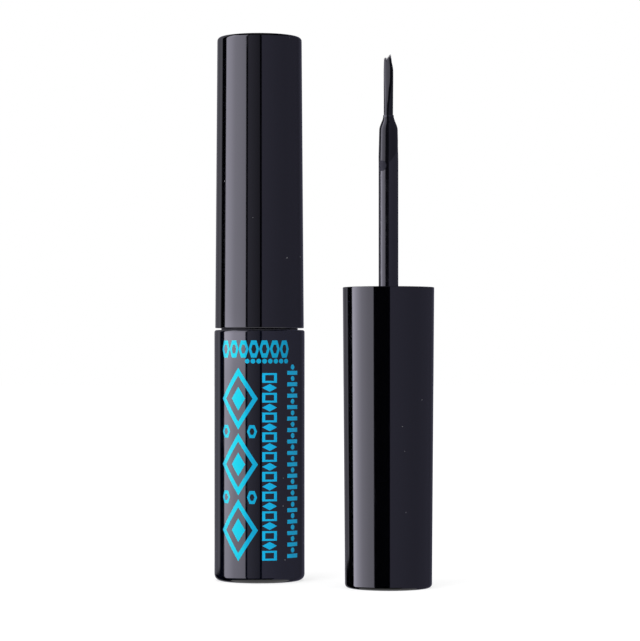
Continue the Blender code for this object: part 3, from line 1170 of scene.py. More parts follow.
class Workshop:
    """Makes finished pieces out of outlines and recipes, and puts them on their bodies."""

    SEGMENTS = 160
    WELD = 0.0000005
    SHARP_ANGLE = math.radians(32)

    @classmethod
    def turned(
        cls,
        name: str,
        outline: Outline,
        finish: Finish,
        place: Matrix,
        thread: Thread | None = None,
        reshape: Callable[[Vector], Vector] | None = None,
    ) -> bpy.types.Object:
        """Turns a piece on the lathe recipe.

        Args:
            name: The piece's name.
            outline: Its half section.
            finish: Its finish.
            place: Where it goes.
            thread: The thread on one of its walls.
            reshape: Moves each point of the turned mesh before it is placed.

        Returns:
            The finished piece.
        """
        points = outline.points()
        mesh = bpy.data.meshes.new(name)
        mesh.from_pydata([(point.x, 0.0, point.y) for point in points], [], [])
        piece = bpy.data.objects.new(name, mesh)
        material = finish.material()
        values = {"Rows": len(points), "Columns": cls.SEGMENTS + 1, "Weld": cls.WELD, "Finish": material}
        turning().follow(piece, values)
        if thread is not None:
            threading().follow(piece, {**thread.inputs(), "Finish": material})
        return cls.settled(piece, place, reshape=reshape)

    @classmethod
    def from_recipe(
        cls,
        name: str,
        recipe: Recipe,
        values: Mapping[str, object],
        place: Matrix,
        reshape: Callable[[Vector], Vector] | None = None,
    ) -> bpy.types.Object:
        """Makes a piece that a recipe builds from its inputs alone.

        Args:
            name: The piece's name.
            recipe: The recipe.
            values: Its inputs.
            place: Where the piece goes.
            reshape: Moves each point before the piece is placed.

        Returns:
            The finished piece, its faces outwards.
        """
        piece = bpy.data.objects.new(name, bpy.data.meshes.new(name))
        recipe.follow(piece, values)
        return cls.settled(piece, place, True, reshape)

    @classmethod
    def settled(
        cls,
        piece: bpy.types.Object,
        place: Matrix,
        outwards: bool = False,
        reshape: Callable[[Vector], Vector] | None = None,
    ) -> bpy.types.Object:
        """Turns a piece's modifiers into its mesh and moves the mesh to its place.

        Args:
            piece: The object with its recipes.
            place: Where its mesh goes; the object stays at the origin.
            outwards: Whether doubles are welded and the faces turned outwards.
            reshape: Moves each point before the mesh is placed.

        Returns:
            The same object with a plain mesh.
        """
        bpy.context.scene.collection.objects.link(piece)
        graph = bpy.context.evaluated_depsgraph_get()
        mesh = bpy.data.meshes.new_from_object(piece.evaluated_get(graph))
        piece.modifiers.clear()
        piece.data = mesh
        mesh.name = piece.name
        if reshape is not None:
            for vert in mesh.vertices:
                vert.co = reshape(vert.co)
        if outwards:
            shape = bmesh.new()
            shape.from_mesh(mesh)
            bmesh.ops.remove_doubles(shape, verts=shape.verts, dist=cls.WELD)
            bmesh.ops.recalc_face_normals(shape, faces=shape.faces)
            shape.to_mesh(mesh)
            shape.free()
        mesh.transform(place)
        mesh.set_sharp_from_angle(angle=cls.SHARP_ANGLE)
        return piece

    @staticmethod
    def hand_over(piece: bpy.types.Object, body: str, slot: Slot, *nodes: str) -> bpy.types.Object:
        """Puts a finished piece on its body and reports it.

        Args:
            piece: The piece.
            body: The CAD body that it moves with.
            slot: The record's material slot that its finish belongs to. Not used.
            nodes: The CAD nodes that it stands for.

        Returns:
            The piece.
        """
        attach(piece, body)
        if nodes:
            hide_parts(*nodes)
        piece.visible_glossy = False
        LOG.info("%s rides on %s, %d faces", piece.name, body, len(piece.data.polygons))
        return piece


class Motif(Enum):
    """Flat motifs: number of sides, turn in degrees, half the unit shape's width and height."""

    LOZENGE = (4, 0.0, 1.0, 1.0)
    BAR = (4, 45.0, math.sqrt(0.5), math.sqrt(0.5))
    DOT = (24, 0.0, 1.0, 1.0)
    HEXAGON = (6, 0.0, 1.0, math.sqrt(0.75))


@dataclass(frozen=True)
class PrintedRun:
    """One motif repeated in a line on the case.

    Arcs are measured along the case's surface from the side that faces the camera.
    """

    name: str
    motif: Motif
    ink: ScreenInk
    slot: Slot
    width: float
    height: float
    arc: float
    level: float
    count: int = 1
    arc_step: float = 0.0
    level_step: float = 0.0
    stroke_share: float = 1.0
    fineness: int = 3
    sunk: float = 0.00001
    thickness: float = 0.00003

    def build(self, barrel: float, place: Matrix, body: str) -> None:
        """Prints the run.

        Args:
            barrel: The case's radius.
            place: The case's axis.
            body: The CAD body of the case.
        """
        sides, turn, reach_x, reach_y = self.motif.value
        values = {
            "Sides": sides,
            "Turn": math.radians(turn),
            "Width scale": self.width / 2 / reach_x,
            "Height scale": self.height / 2 / reach_y,
            "Hole share": 1 - self.stroke_share,
            "Count": self.count,
            "Arc": self.arc,
            "Level": self.level,
            "Arc step": self.arc_step,
            "Level step": self.level_step,
            "Barrel radius": barrel,
            "Sunk": self.sunk,
            "Thickness": self.thickness,
            "Fineness": self.fineness,
            "Finish": self.ink.material(),
        }
        piece = Workshop.from_recipe("print_" + self.name, printing(), values, place)
        Workshop.hand_over(piece, body, self.slot)


@dataclass
class Bottle:
    """The case with its print and base film, the vial in it, the wiper and the liner."""

    body: str = "bottle"
    case_wall: float = 0.0009
    case_floor: float = 0.0014
    case_top_round: float = 0.00045
    case_inner_round: float = 0.0006
    case_base_round: float = 0.0012
    recess_radius: float = 0.006
    recess_depth: float = 0.00035
    vial_wall: float = 0.0011
    vial_floor: float = 0.0011
    vial_round: float = 0.0008
    collar_step: float = 0.0002
    collar_rise: float = 0.0022
    collar_round: float = 0.0003
    neck_radius: float = 0.00545
    neck_bore: float = 0.0041
    neck_round: float = 0.0003
    shoulder_drop: float = 0.003
    shoulder_rise: float = 0.0018
    thread_depth: float = 0.0006
    thread_start: float = 0.0021
    thread_height: float = 0.006
    thread_overrun: float = 0.0004
    thread_rows: int = 90
    wiper_wall: float = 0.0008
    wiper_flange: float = 0.0008
    wiper_funnel: float = 0.0028
    wiper_lip: float = 0.0006
    wiper_lip_wall: float = 0.00045
    wiper_round: float = 0.00025
    wiper_gap: float = 0.0002
    lip_gap: float = 0.00015
    well_gap: float = 0.00025
    liner_meniscus: float = 0.0006
    milky_colour: Colour = (0.62, 0.62, 0.60)
    stain_colour: Colour = (0.006, 0.006, 0.008)
    film_guard: float = 0.00001
    lozenge_arc: float = -0.0039
    lozenge_level: float = 0.0099
    lozenge_step: float = 0.0122
    link_level: float = 0.0160
    block_arc: float = 0.0021
    block_step: float = 0.00366
    tick_arc: float = 0.0071
    tick_step: float = 0.00213
    head_step: float = 0.00198
    dot_step: float = 0.00108

    def __post_init__(self) -> None:
        """Reads the extents of the CAD nodes."""
        stem_radius = Extent.of("applicator_stem").radius
        self.lip_bore = stem_radius + self.lip_gap
        self.liner_well = stem_radius + self.well_gap
        self.case = Extent.of("bottle_case")
        self.film = Extent.of("base_label")
        self.vial = Extent.of("inner_vial")
        self.wiper = Extent.of("wiper")
        self.liner = Extent.of("liner_liquid")
        self.place = Matrix.Translation(self.case.axis)

    def build(self) -> None:
        """Builds and dresses every piece of the bottle."""
        self._case()
        self._film()
        self._vial()
        self._wiper()
        self._liner()
        for run in self._print_runs():
            run.build(self.case.radius, self.place, self.body)

    def _case(self) -> None:
        """The glossy outer tube, a deep cup with a recess under its floor."""
        bore = self.case.radius - self.case_wall
        floor_top = self.recess_depth + self.case_floor
        outline = Outline().to(0, floor_top).to(bore, floor_top, self.case_inner_round)
        outline.to(bore, self.case.top, self.case_top_round * LESSER_EDGE_SHARE)
        outline.to(self.case.radius, self.case.top, self.case_top_round)
        outline.to(self.case.radius, self.case.bottom, self.case_base_round)
        outline.to(self.recess_radius, self.case.bottom, self.recess_depth * LESSER_EDGE_SHARE)
        outline.to(self.recess_radius, self.recess_depth).to(0, self.recess_depth)
        piece = Workshop.turned("case_tube", outline, POLISHED_CASE, self.place)
        Workshop.hand_over(piece, self.body, Slot.CASE_BLACK, "bottle_case")

    def _film(self) -> None:
        """The blank round film in the recess."""
        low, high, radius = self.film.bottom, self.film.top, self.film.radius
        outline = Outline(guard=self.film_guard).to(0, high).to(radius, high)
        outline.to(radius, low, (high - low) / 2).to(0, low)
        piece = Workshop.turned("base_film", outline, BLANK_FILM, self.place)
        Workshop.hand_over(piece, self.body, Slot.LABEL_GREY, "base_label")

    def _vial(self) -> None:
        """The inner bottle with its collar and threaded neck."""
        floor_top = self.vial.bottom + self.vial_floor
        bore = self.vial.radius - self.vial_wall
        shoulder_bottom = self.case.top - self.shoulder_drop
        shoulder_top = shoulder_bottom + self.shoulder_rise
        collar_top = self.case.top + self.collar_rise
        collar_radius = self.vial.radius - self.collar_step
        thread_bottom = collar_top + self.thread_start
        thread_top = thread_bottom + self.thread_height
        outline = Outline().to(0, floor_top).to(bore, floor_top, self.vial_round)
        outline.to(bore, shoulder_bottom, self.shoulder_rise * LESSER_EDGE_SHARE)
        outline.to(self.neck_bore, shoulder_top, self.shoulder_rise * LESSER_EDGE_SHARE)
        outline.to(self.neck_bore, self.vial.top, self.neck_round / 2)
        outline.to(self.neck_radius, self.vial.top, self.neck_round)
        outline.to(self.neck_radius, thread_top + self.thread_overrun, rows=self.thread_rows)
        outline.to(self.neck_radius, thread_bottom - self.thread_overrun)
        outline.to(self.neck_radius, collar_top, self.neck_round)
        outline.to(collar_radius, collar_top, self.collar_round)
        outline.to(collar_radius, shoulder_top).to(self.vial.radius, shoulder_bottom)
        outline.to(self.vial.radius, self.vial.bottom, self.vial_round).to(0, self.vial.bottom)
        thread = Thread(
            wall_radius=self.neck_radius,
            depth=self.thread_depth,
            bottom=thread_bottom - self.thread_overrun,
            top=thread_top + self.thread_overrun,
            datum=thread_bottom,
        )
        piece = Workshop.turned("vial_body", outline, SMOKY_VIAL_AND_SEAM_SHADE, self.place, thread)
        Workshop.hand_over(piece, self.body, Slot.VIAL_SMOKE, "inner_vial")

    def _wiper(self) -> None:
        """The soft sleeve in the neck, which narrows to a lip round the stem."""
        sleeve = self.neck_bore - self.wiper_gap
        bore = sleeve - self.wiper_wall
        lip_top = self.wiper.bottom + self.wiper_lip
        funnel_top = self.wiper.bottom + self.wiper_funnel
        flange_bottom = self.wiper.top - self.wiper_flange
        lip_outer = self.lip_bore + self.wiper_lip_wall
        outline = Outline(closed=True).to(bore, self.wiper.top, self.wiper_round)
        outline.to(self.wiper.radius, self.wiper.top, self.wiper_round)
        outline.to(self.wiper.radius, flange_bottom).to(sleeve, flange_bottom)
        outline.to(sleeve, funnel_top, self.wiper_wall / 2)
        lip_round = self.wiper_round * LESSER_EDGE_SHARE
        outline.to(lip_outer, lip_top, self.wiper_round).to(lip_outer, self.wiper.bottom, lip_round)
        outline.to(self.lip_bore, self.wiper.bottom, lip_round)
        outline.to(self.lip_bore, lip_top, self.wiper_round)
        outline.to(bore, funnel_top + self.wiper_wall, self.wiper_wall / 2)
        finish = MilkyRubber(
            "milky_wiper",
            colour=self.milky_colour,
            stain=self.stain_colour,
            axis=self.wiper.axis,
            lip_height=lip_top,
            clean_height=funnel_top + self.wiper_wall,
            bore=self.lip_bore,
            wall=self.wiper_wall,
        )
        piece = Workshop.turned("wiper_sleeve", outline, finish, self.place)
        Workshop.hand_over(piece, self.body, Slot.WIPER_NATURAL, "wiper")

    def _liner(self) -> None:
        """The liquid, with the well that the stem stands in and a meniscus up the wall."""
        brush = Extent.of("brush_tuft")
        brush_well = brush.radius + self.well_gap
        radius = self.liner.radius
        well_floor = brush.bottom - self.wiper_gap
        outline = Outline().to(0, well_floor).to(brush_well, well_floor)
        outline.to(brush_well, brush.top).to(self.liner_well, brush.top)
        outline.to(self.liner_well, self.liner.top, self.liner_meniscus / 2)
        level = self.liner.top - self.liner_meniscus / 2
        outline.to(radius - 2 * self.liner_meniscus, level, self.liner_meniscus)
        outline.to(radius, self.liner.top).to(radius, self.liner.bottom, self.vial_round)
        outline.to(0, self.liner.bottom)
        piece = Workshop.turned("liner_pool", outline, LINER, self.place)
        Workshop.hand_over(piece, self.body, Slot.LINER_BLACK, "liner_liquid")

    def _print_runs(self) -> list[PrintedRun]:
        """Lays out the print: columns of lozenges, of blocks and of ticks, and a head band.

        Returns:
            The runs that make it up.
        """
        cyan = {"ink": CYAN_INK, "slot": Slot.PRINT_CYAN}
        blue = {"ink": BLUE_INK, "slot": Slot.PRINT_BLUE}
        column = {**cyan, "level_step": self.lozenge_step}
        rhombs = {**column, "arc": self.lozenge_arc, "level": self.lozenge_level, "count": 3}
        links = {**column, "width": 0.0019, "height": 0.0024, "level": self.link_level, "count": 2}
        blocks = {**blue, "width": 0.0028, "arc": self.block_arc, "level_step": self.block_step}
        ticks = {**blue, "arc": self.tick_arc, "count": 17, "level_step": self.tick_step}
        return [
            PrintedRun("lozenges", Motif.LOZENGE, width=0.0076, height=0.0115, stroke_share=0.26,
                       fineness=4, **rhombs),
            PrintedRun("kernels", Motif.LOZENGE, width=0.0028, height=0.0044, **rhombs),
            PrintedRun("left_links", Motif.HEXAGON, arc=-0.0067, stroke_share=0.5, **links),
            PrintedRun("right_links", Motif.HEXAGON, arc=-0.0012, stroke_share=0.5, **links),
            PrintedRun("open_blocks", Motif.BAR, height=0.0018, level=0.0052, count=10,
                       stroke_share=0.40, **blocks),
            PrintedRun("solid_blocks", Motif.LOZENGE, height=0.00145, level=0.00703, count=9, **blocks),
            PrintedRun("ticks", Motif.BAR, width=0.0027, height=0.00074, level=0.0050, **ticks),
            PrintedRun("tick_dots", Motif.DOT, width=0.00094, height=0.00094, level=0.00607,
                       fineness=1, **ticks),
            PrintedRun("head_hexagons", Motif.HEXAGON, width=0.00196, height=0.0032, arc=-0.0068,
                       level=0.0435, count=7, arc_step=self.head_step, stroke_share=0.50, **cyan),
            PrintedRun("head_dots", Motif.DOT, width=0.00088, height=0.00088, arc=-0.0021, level=0.04125,
                       count=8, arc_step=self.dot_step, fineness=1, **cyan),
        ]


class Posture(Enum):
    """How a cap and its applicator stand: prefix of the names, and the two bodies they ride on."""

    SCREWED_ON = ("", "cap", "applicator")
    TAKEN_OUT = ("open_", "open_applicator", "open_applicator")

    @property
    def prefix(self) -> str:
        """What the names of the CAD nodes start with."""
        return self.value[0]


@dataclass
class CapSet:
    """A cap with its threaded insert, stem and brush, built standing on the cap's closed end."""

    posture: Posture
    rim_round: float = 0.00014
    end_round: float = 0.0007
    taper: float = 0.0004
    end_thickness: float = 0.0013
    mouth_wall: float = 0.0009
    upper_wall: float = 0.0013
    inner_round: float = 0.0008
    shell_gap: float = 0.0002
    insert_wall: float = 0.00085
    insert_ceiling: float = 0.0014
    insert_round: float = 0.0003
    boss_radius: float = 0.003
    boss_height: float = 0.006
    boss_round: float = 0.0005
    socket_cover: float = 0.001
    socket_gap: float = 0.00015
    thread_depth: float = -0.0006
    thread_start: float = 0.00275
    thread_height: float = 0.006
    thread_overrun: float = 0.0004
    thread_rows: int = 90
    stem_low_radius: float = 0.00166
    stem_root_round: float = 0.0003
    stem_taper: float = 0.0055
    stem_shoulder: float = 0.0027
    stem_shoulder_steps: int = 16
    ferrule_lip: float = 0.00015
    ferrule_radius: float = 0.00097
    ferrule_bore: float = 0.00093
    ferrule_depth: float = 0.004
    ferrule_round: float = 0.00004
    brush_radius: float = 0.00087
    brush_root_radius: float = 0.00085
    brush_setback: float = 0.0003
    swell_share: float = 0.5
    full_width_share: float = 0.72
    tip_spread_share: float = 0.74
    fibre_colour: Colour = (0.004, 0.004, 0.005)
    dry_fibre_colour: Colour = (0.016, 0.012, 0.012)
    fibre_radius: float = 0.000024
    fibre_spacing: float = 0.000058
    lock_size: float = 0.0005
    lock_pull_share: float = 0.4
    ragged_share: float = 0.04
    seed: int = 7
    coat_thickness: float = 0.00003
    coat_length_share: float = 0.95
    coat_round_share: float = 0.25
    coat_rows: int = 40
    flute_width: float = 0.00012
    flute_length: float = 0.003
    flute_depth: float = 0.000005
    blade_azimuth: float = math.radians(-30)
    blade_widening_share: float = 0.13
    blade_thinning_share: float = 0.64
    blade_share: float = 0.68
    tip_lean_share: float = 0.85
    tip_drop_shares: tuple[Span, ...] = (
        (-1.0, 0.065), (-0.75, 0.046), (-0.35, 0.052), (-0.1, 0.075), (0.35, 0.03), (0.8, 0.0), (1.0, 0.02),
    )
    tip_wave_share: float = 0.03
    tip_wave_width: float = 0.00036
    tip_wave_length: float = 0.009
    tip_wave_from_share: float = 0.8
    film_length: float = 0.0098
    film_thickness: float = 0.00004
    film_rows: int = 60
    film_bite: float = 0.00001
    film_edge_share: float = 0.16
    film_slant_share: float = 0.5
    drop_radius: float = 0.00095
    drop_height: float = 0.00009
    drop_azimuth: float = math.radians(-43)
    drop_from_end: float = 0.0093

    def __post_init__(self) -> None:
        """Reads the extents of the CAD nodes and works out the set's place."""
        prefix, self.cap_body, self.stem_body = self.posture.value
        self.shell = Extent.of(prefix + "cap_shell")
        self.insert = Extent.of(prefix + "cap_insert")
        self.stem = Extent.of(prefix + "applicator_stem")
        self.brush = Extent.of(prefix + "brush_tuft")
        self.place = Matrix.Translation(self.shell.axis)
        if self.posture is Posture.SCREWED_ON:
            lifted = Matrix.Translation(self.shell.axis + Vector((0, 0, self.shell.top)))
            self.place = lifted @ Matrix.Rotation(math.pi, 4, "X")
        self.length = self.shell.top - self.shell.bottom

    def _height(self, extent: Extent, from_closed_end: bool) -> float:
        """The near or far end of a node, measured from the cap's closed end.

        Args:
            extent: The node's extent.
            from_closed_end: True for the end nearer the cap's closed end.

        Returns:
            The height in the set's own frame.
        """
        if self.posture is Posture.SCREWED_ON:
            return self.shell.top - (extent.top if from_closed_end else extent.bottom)
        return extent.bottom if from_closed_end else extent.top

    def build(self) -> None:
        """Builds and dresses every piece of the set."""
        self._shell()
        self._insert()
        self._stem()
        self._brush()
        self._brush_coat()
        self._stem_film()
        if self.posture is Posture.TAKEN_OUT:
            self._dried_drop()

    def _ledge(self) -> float:
        """Height of the ledge in the shell that the insert stands on."""
        return self._height(self.insert, True) + self.boss_height - self.shell_gap

    def _shell(self) -> None:
        """The cap's glossy outer shell, slightly tapered."""
        rim = self.shell.radius
        end = rim - self.taper
        mouth = rim - self.mouth_wall
        ledge = self._ledge()
        outline = Outline().to(0, self.end_thickness)
        outline.to(end - self.upper_wall, self.end_thickness, self.inner_round)
        outline.to(rim - self.upper_wall, ledge).to(mouth, ledge)
        outline.to(mouth, self.length, self.rim_round * LESSER_EDGE_SHARE)
        outline.to(rim, self.length, self.rim_round)
        outline.to(end, 0, self.end_round).to(0, 0)
        piece = Workshop.turned(self.posture.prefix + "cap_cover", outline, POLISHED_CAP, self.place)
        Workshop.hand_over(piece, self.cap_body, Slot.GLOSS_BLACK, self.posture.prefix + "cap_shell")

    def _insert(self) -> None:
        """The threaded inner cap with the boss that holds the stem."""
        boss_end = self._height(self.insert, True)
        mouth = self._height(self.insert, False)
        ceiling_outer = boss_end + self.boss_height
        ceiling_inner = ceiling_outer + self.insert_ceiling
        radius = self.insert.radius
        bore = radius - self.insert_wall
        socket = self.stem.radius + self.socket_gap
        thread_top = mouth - self.thread_start
        thread_bottom = thread_top - self.thread_height
        outline = Outline().to(0, boss_end + self.socket_cover).to(socket, boss_end + self.socket_cover)
        outline.to(socket, ceiling_inner, self.insert_round).to(bore, ceiling_inner, self.insert_round)
        outline.to(bore, thread_bottom - self.thread_overrun, rows=self.thread_rows)
        outline.to(bore, thread_top + self.thread_overrun)
        outline.to(bore, mouth, self.insert_round / 2).to(radius, mouth, self.insert_round)
        outline.to(radius, ceiling_outer, self.insert_round).to(self.boss_radius, ceiling_outer)
        outline.to(self.boss_radius, boss_end, self.boss_round).to(0, boss_end)
        thread = Thread(
            wall_radius=bore,
            depth=self.thread_depth,
            bottom=thread_bottom - self.thread_overrun,
            top=thread_top + self.thread_overrun,
            datum=self._thread_datum(),
        )
        name = self.posture.prefix + "thread_cup"
        piece = Workshop.turned(name, outline, SATIN_INSERT, self.place, thread)
        Workshop.hand_over(piece, self.cap_body, Slot.INSERT_BLACK, self.posture.prefix + "cap_insert")

    def _thread_datum(self) -> float:
        """Finds where the thread's ridge crosses azimuth zero, midway between the neck's ridges.

        Returns:
            The height in the set's own frame.
        """
        collar_top = Extent.of("bottle_case").top + Bottle.collar_rise
        neck_ridge = Extent.of("cap_shell").top - collar_top - Bottle.thread_start
        return neck_ridge - Thread.lead / Thread.starts / 2

    def _stem(self) -> None:
        """The stem, which tapers a little and ends in a shoulder round the bristles."""
        root = self._height(self.stem, True)
        end = self._height(self.stem, False)
        bore_floor = end - self.ferrule_depth
        outline = Outline().to(0, bore_floor).to(self.ferrule_bore, bore_floor)
        outline.to(self.ferrule_bore, end, self.ferrule_round)
        outline.to(self.ferrule_radius, end, self.ferrule_round)
        for step in range(1, self.stem_shoulder_steps + 1):
            share = step / self.stem_shoulder_steps
            outline.to(self._stem_radius(share * self.stem_shoulder), end - share * self.stem_shoulder)
        outline.to(self.stem.radius, end - self.stem_shoulder - self.stem_taper)
        outline.to(self.stem.radius, root, self.stem_root_round).to(0, root)
        name = self.posture.prefix + "rod"
        piece = Workshop.turned(name, outline, STEM, self.place)
        Workshop.hand_over(piece, self.stem_body, Slot.STEM_BLACK, self.posture.prefix + "applicator_stem")

    def _stem_radius(self, from_end: float) -> float:
        """The stem's radius at one place.

        Args:
            from_end: The place's distance from the stem's brush end.

        Returns:
            The radius.
        """
        if from_end < self.stem_shoulder:
            rise = eased(from_end, self.ferrule_lip, self.stem_shoulder)
            return self.ferrule_radius + (self.stem_low_radius - self.ferrule_radius) * rise
        share = (from_end - self.stem_shoulder) / self.stem_taper
        return self.stem_low_radius + (self.stem.radius - self.stem_low_radius) * min(share, 1)

    def _brush_root(self) -> float:
        """The height at which the fibres leave the plug that holds them."""
        return self._height(self.stem, False) - self.brush_setback

    def _brush_length(self) -> float:
        """How far the fibres reach from their root."""
        return self._height(self.brush, False) - self._brush_root()

    def _brush_place(self) -> Matrix:
        """The tuft's place: its root at the origin, its blade turned to the blade's azimuth."""
        rooted = Matrix.Translation((0, 0, self._brush_root()))
        return self.place @ rooted @ Matrix.Rotation(self.blade_azimuth, 4, "Z")

    def _pressed(self, point: Vector) -> Vector:
        """Presses the round tuft into a blade towards its tip and gives its end a worn edge.

        Args:
            point: A point in the tuft's own frame.

        Returns:
            Where it goes.
        """
        share = point.z / self._brush_length()
        flat = eased(share, 0, self.blade_share)
        radius = self._coat_radius(share)
        lean = self.tip_lean_share * (self.brush_radius - radius)
        drop = self._tip_drop(point.x / radius) * eased(share, self.full_width_share / 2, 1)
        return Vector((
            (point.x - lean) * (1 + self.blade_widening_share * flat),
            point.y * (1 - self.blade_thinning_share * flat),
            point.z * (1 - drop),
        ))

    def _tip_drop(self, across: float) -> float:
        """How far the tip falls short at a place across it, from minus one to one.

        Args:
            across: The place, as a share of the radius.

        Returns:
            The share of the length that is missing.
        """
        for (start, low), (end, high) in zip(self.tip_drop_shares, self.tip_drop_shares[1:]):
            if across < end:
                return low + (high - low) * max(0.0, across - start) / (end - start)
        return self.tip_drop_shares[-1][1]

    def _brush(self) -> None:
        """The tuft of fibres in the end of the stem."""
        root_world = (self.place @ Vector((0, 0, self._brush_root()))).z
        tip_world = (self.place @ Vector((0, 0, self._height(self.brush, False)))).z
        root_radius = self.brush_root_radius - self.coat_thickness
        finish = WetFibre(
            self.posture.prefix + "wet_fibre",
            colour=self.fibre_colour,
            dry_colour=self.dry_fibre_colour,
            root_height=root_world,
            tip_height=tip_world,
        )
        values = {
            "Root radius": root_radius,
            "Length": self._brush_length(),
            "Fibre radius": self.fibre_radius,
            "Spacing": self.fibre_spacing,
            "Swell share": (self.brush_radius - self.coat_thickness) / root_radius,
            "Tip spread share": self.tip_spread_share,
            "Full width share": self.full_width_share,
            "Lock size": self.lock_size,
            "Lock pull share": self.lock_pull_share,
            "Ragged share": self.ragged_share,
            "Plug depth": self.ferrule_depth - self.brush_setback - self.ferrule_round,
            "Seed": self.seed,
            "Finish": finish.material(),
        }
        name = self.posture.prefix + "fibres"
        piece = Workshop.from_recipe(name, bristling(), values, self._brush_place(), self._pressed)
        Workshop.hand_over(piece, self.stem_body, Slot.BRISTLE_BLACK, self.posture.prefix + "brush_tuft")

    def _coat_radius(self, share: float) -> float:
        """The wet tuft's radius at one place, before it is pressed flat.

        Args:
            share: The place, as a share of the tuft's length.

        Returns:
            The radius.
        """
        growth = (self.brush_radius - self.brush_root_radius) * eased(share, 0, self.swell_share)
        narrowing = (1 - self.tip_spread_share) * eased(share, self.full_width_share, 1)
        return (self.brush_root_radius + growth) * (1 - narrowing)

    @staticmethod
    def _noise_at(point: Vector, width: float, length: float) -> float:
        """Fixed noise whose patches have the given width across the tuft and length along it."""
        return noise.noise(Vector((point.x / width, point.y / width, point.z / length)))

    def _brush_coat(self) -> None:
        """The liner that fills the tuft and draws it together, faintly fluted by its fibres."""
        top = self.coat_length_share * self._brush_length()
        top_radius = self._coat_radius(self.coat_length_share)
        tip_round = top_radius * self.coat_round_share
        outline = Outline().to(0, top).to(top_radius, top, tip_round)
        for row in range(self.coat_rows, -1, -1):
            height = (top - 2 * tip_round) * row / self.coat_rows
            outline.to(self._coat_radius(height / self._brush_length()), height)
        outline.to(self.brush_root_radius, -self.brush_setback).to(0, -self.brush_setback)

        def fluted(point: Vector) -> Vector:
            """Presses shallow flutes into the coat's side, waves its tip, then presses it flat.

            Args:
                point: A point of the round coat.

            Returns:
                Where it goes.
            """
            flutes = self._noise_at(point, self.flute_width, self.flute_length)
            waves = self._noise_at(point, self.tip_wave_width, self.tip_wave_length)
            radius = math.hypot(point.x, point.y)
            narrower = 1 - self.flute_depth * flutes / max(radius, self.flute_width)
            near_tip = eased(point.z / top, self.tip_wave_from_share, 1)
            longer = 1 + self.tip_wave_share * waves * near_tip
            return self._pressed(Vector((point.x * narrower, point.y * narrower, point.z * longer)))

        name = self.posture.prefix + "brush_coat"
        piece = Workshop.turned(name, outline, LINER, self._brush_place(), reshape=fluted)
        Workshop.hand_over(piece, self.stem_body, Slot.LINER_BLACK)

    def _stem_film(self) -> None:
        """The film of liner on the stem's end."""
        end = self._height(self.stem, False)
        outline = Outline(closed=True)
        for row in range(self.film_rows + 1):
            share = row / self.film_rows
            from_end = self.film_length * share
            edge = min(1.0, share / self.film_edge_share, (1 - share) / self.film_edge_share)
            skin = self._stem_radius(from_end) - self.film_bite
            outline.to(skin + self.film_thickness * edge, end - from_end)
        inner = (self.ferrule_bore + self.ferrule_radius) / 2
        outline.to(inner, end - self.film_length).to(inner, end)

        def hanging(point: Vector) -> Vector:
            """Draws the film's edge up along the stem, the more the farther it lies from the drop.

            Args:
                point: A point of the straight film.

            Returns:
                Where it goes.
            """
            from_drop = math.atan2(point.x, -point.y) - self.drop_azimuth
            kept = 1 - self.film_slant_share * (1 - math.cos(from_drop)) / 2
            from_end = end - point.z
            radius = math.hypot(point.x, point.y)
            drawn = from_end * kept
            scale = (radius + self._stem_radius(drawn) - self._stem_radius(from_end)) / radius
            return Vector((point.x * scale, point.y * scale, end - drawn))

        name = self.posture.prefix + "wet_film"
        piece = Workshop.turned(name, outline, LINER, self.place, reshape=hanging)
        Workshop.hand_over(piece, self.stem_body, Slot.LINER_BLACK)

    def _dried_drop(self) -> None:
        """A drop that has dried at the film's lower end, bent round the stem."""
        skin = self._stem_radius(self.drop_from_end)
        level = self._height(self.stem, False) - self.drop_from_end
        outline = Outline().to(0, self.drop_height)
        outline.to(self.drop_radius, self.drop_height, self.drop_radius * LESSER_EDGE_SHARE)
        outline.to(self.drop_radius, -self.film_bite).to(0, -self.film_bite)

        def bent(point: Vector) -> Vector:
            """Wraps the flat drop round the stem.

            Args:
                point: A point of the flat drop.

            Returns:
                Where it goes.
            """
            angle = self.drop_azimuth + point.x / skin
            radius = skin + point.z
            return Vector((radius * math.sin(angle), -radius * math.cos(angle), level + point.y))

        name = self.posture.prefix + "dried_drop"
        piece = Workshop.turned(name, outline, DRIED_LINER, self.place, reshape=bent)
        Workshop.hand_over(piece, self.stem_body, Slot.LINER_BLACK)


class Tint(Enum):
    """Tints of the cards' light, which the black plastic shows in its gloss."""

    PLAIN = (1.0, 0.98, 1.3)
    GREY = (1.0, 0.98, 1.15)
    KEY = (1.0, 0.97, 1.16)
    BLUE = (1.0, 0.98, 1.45)


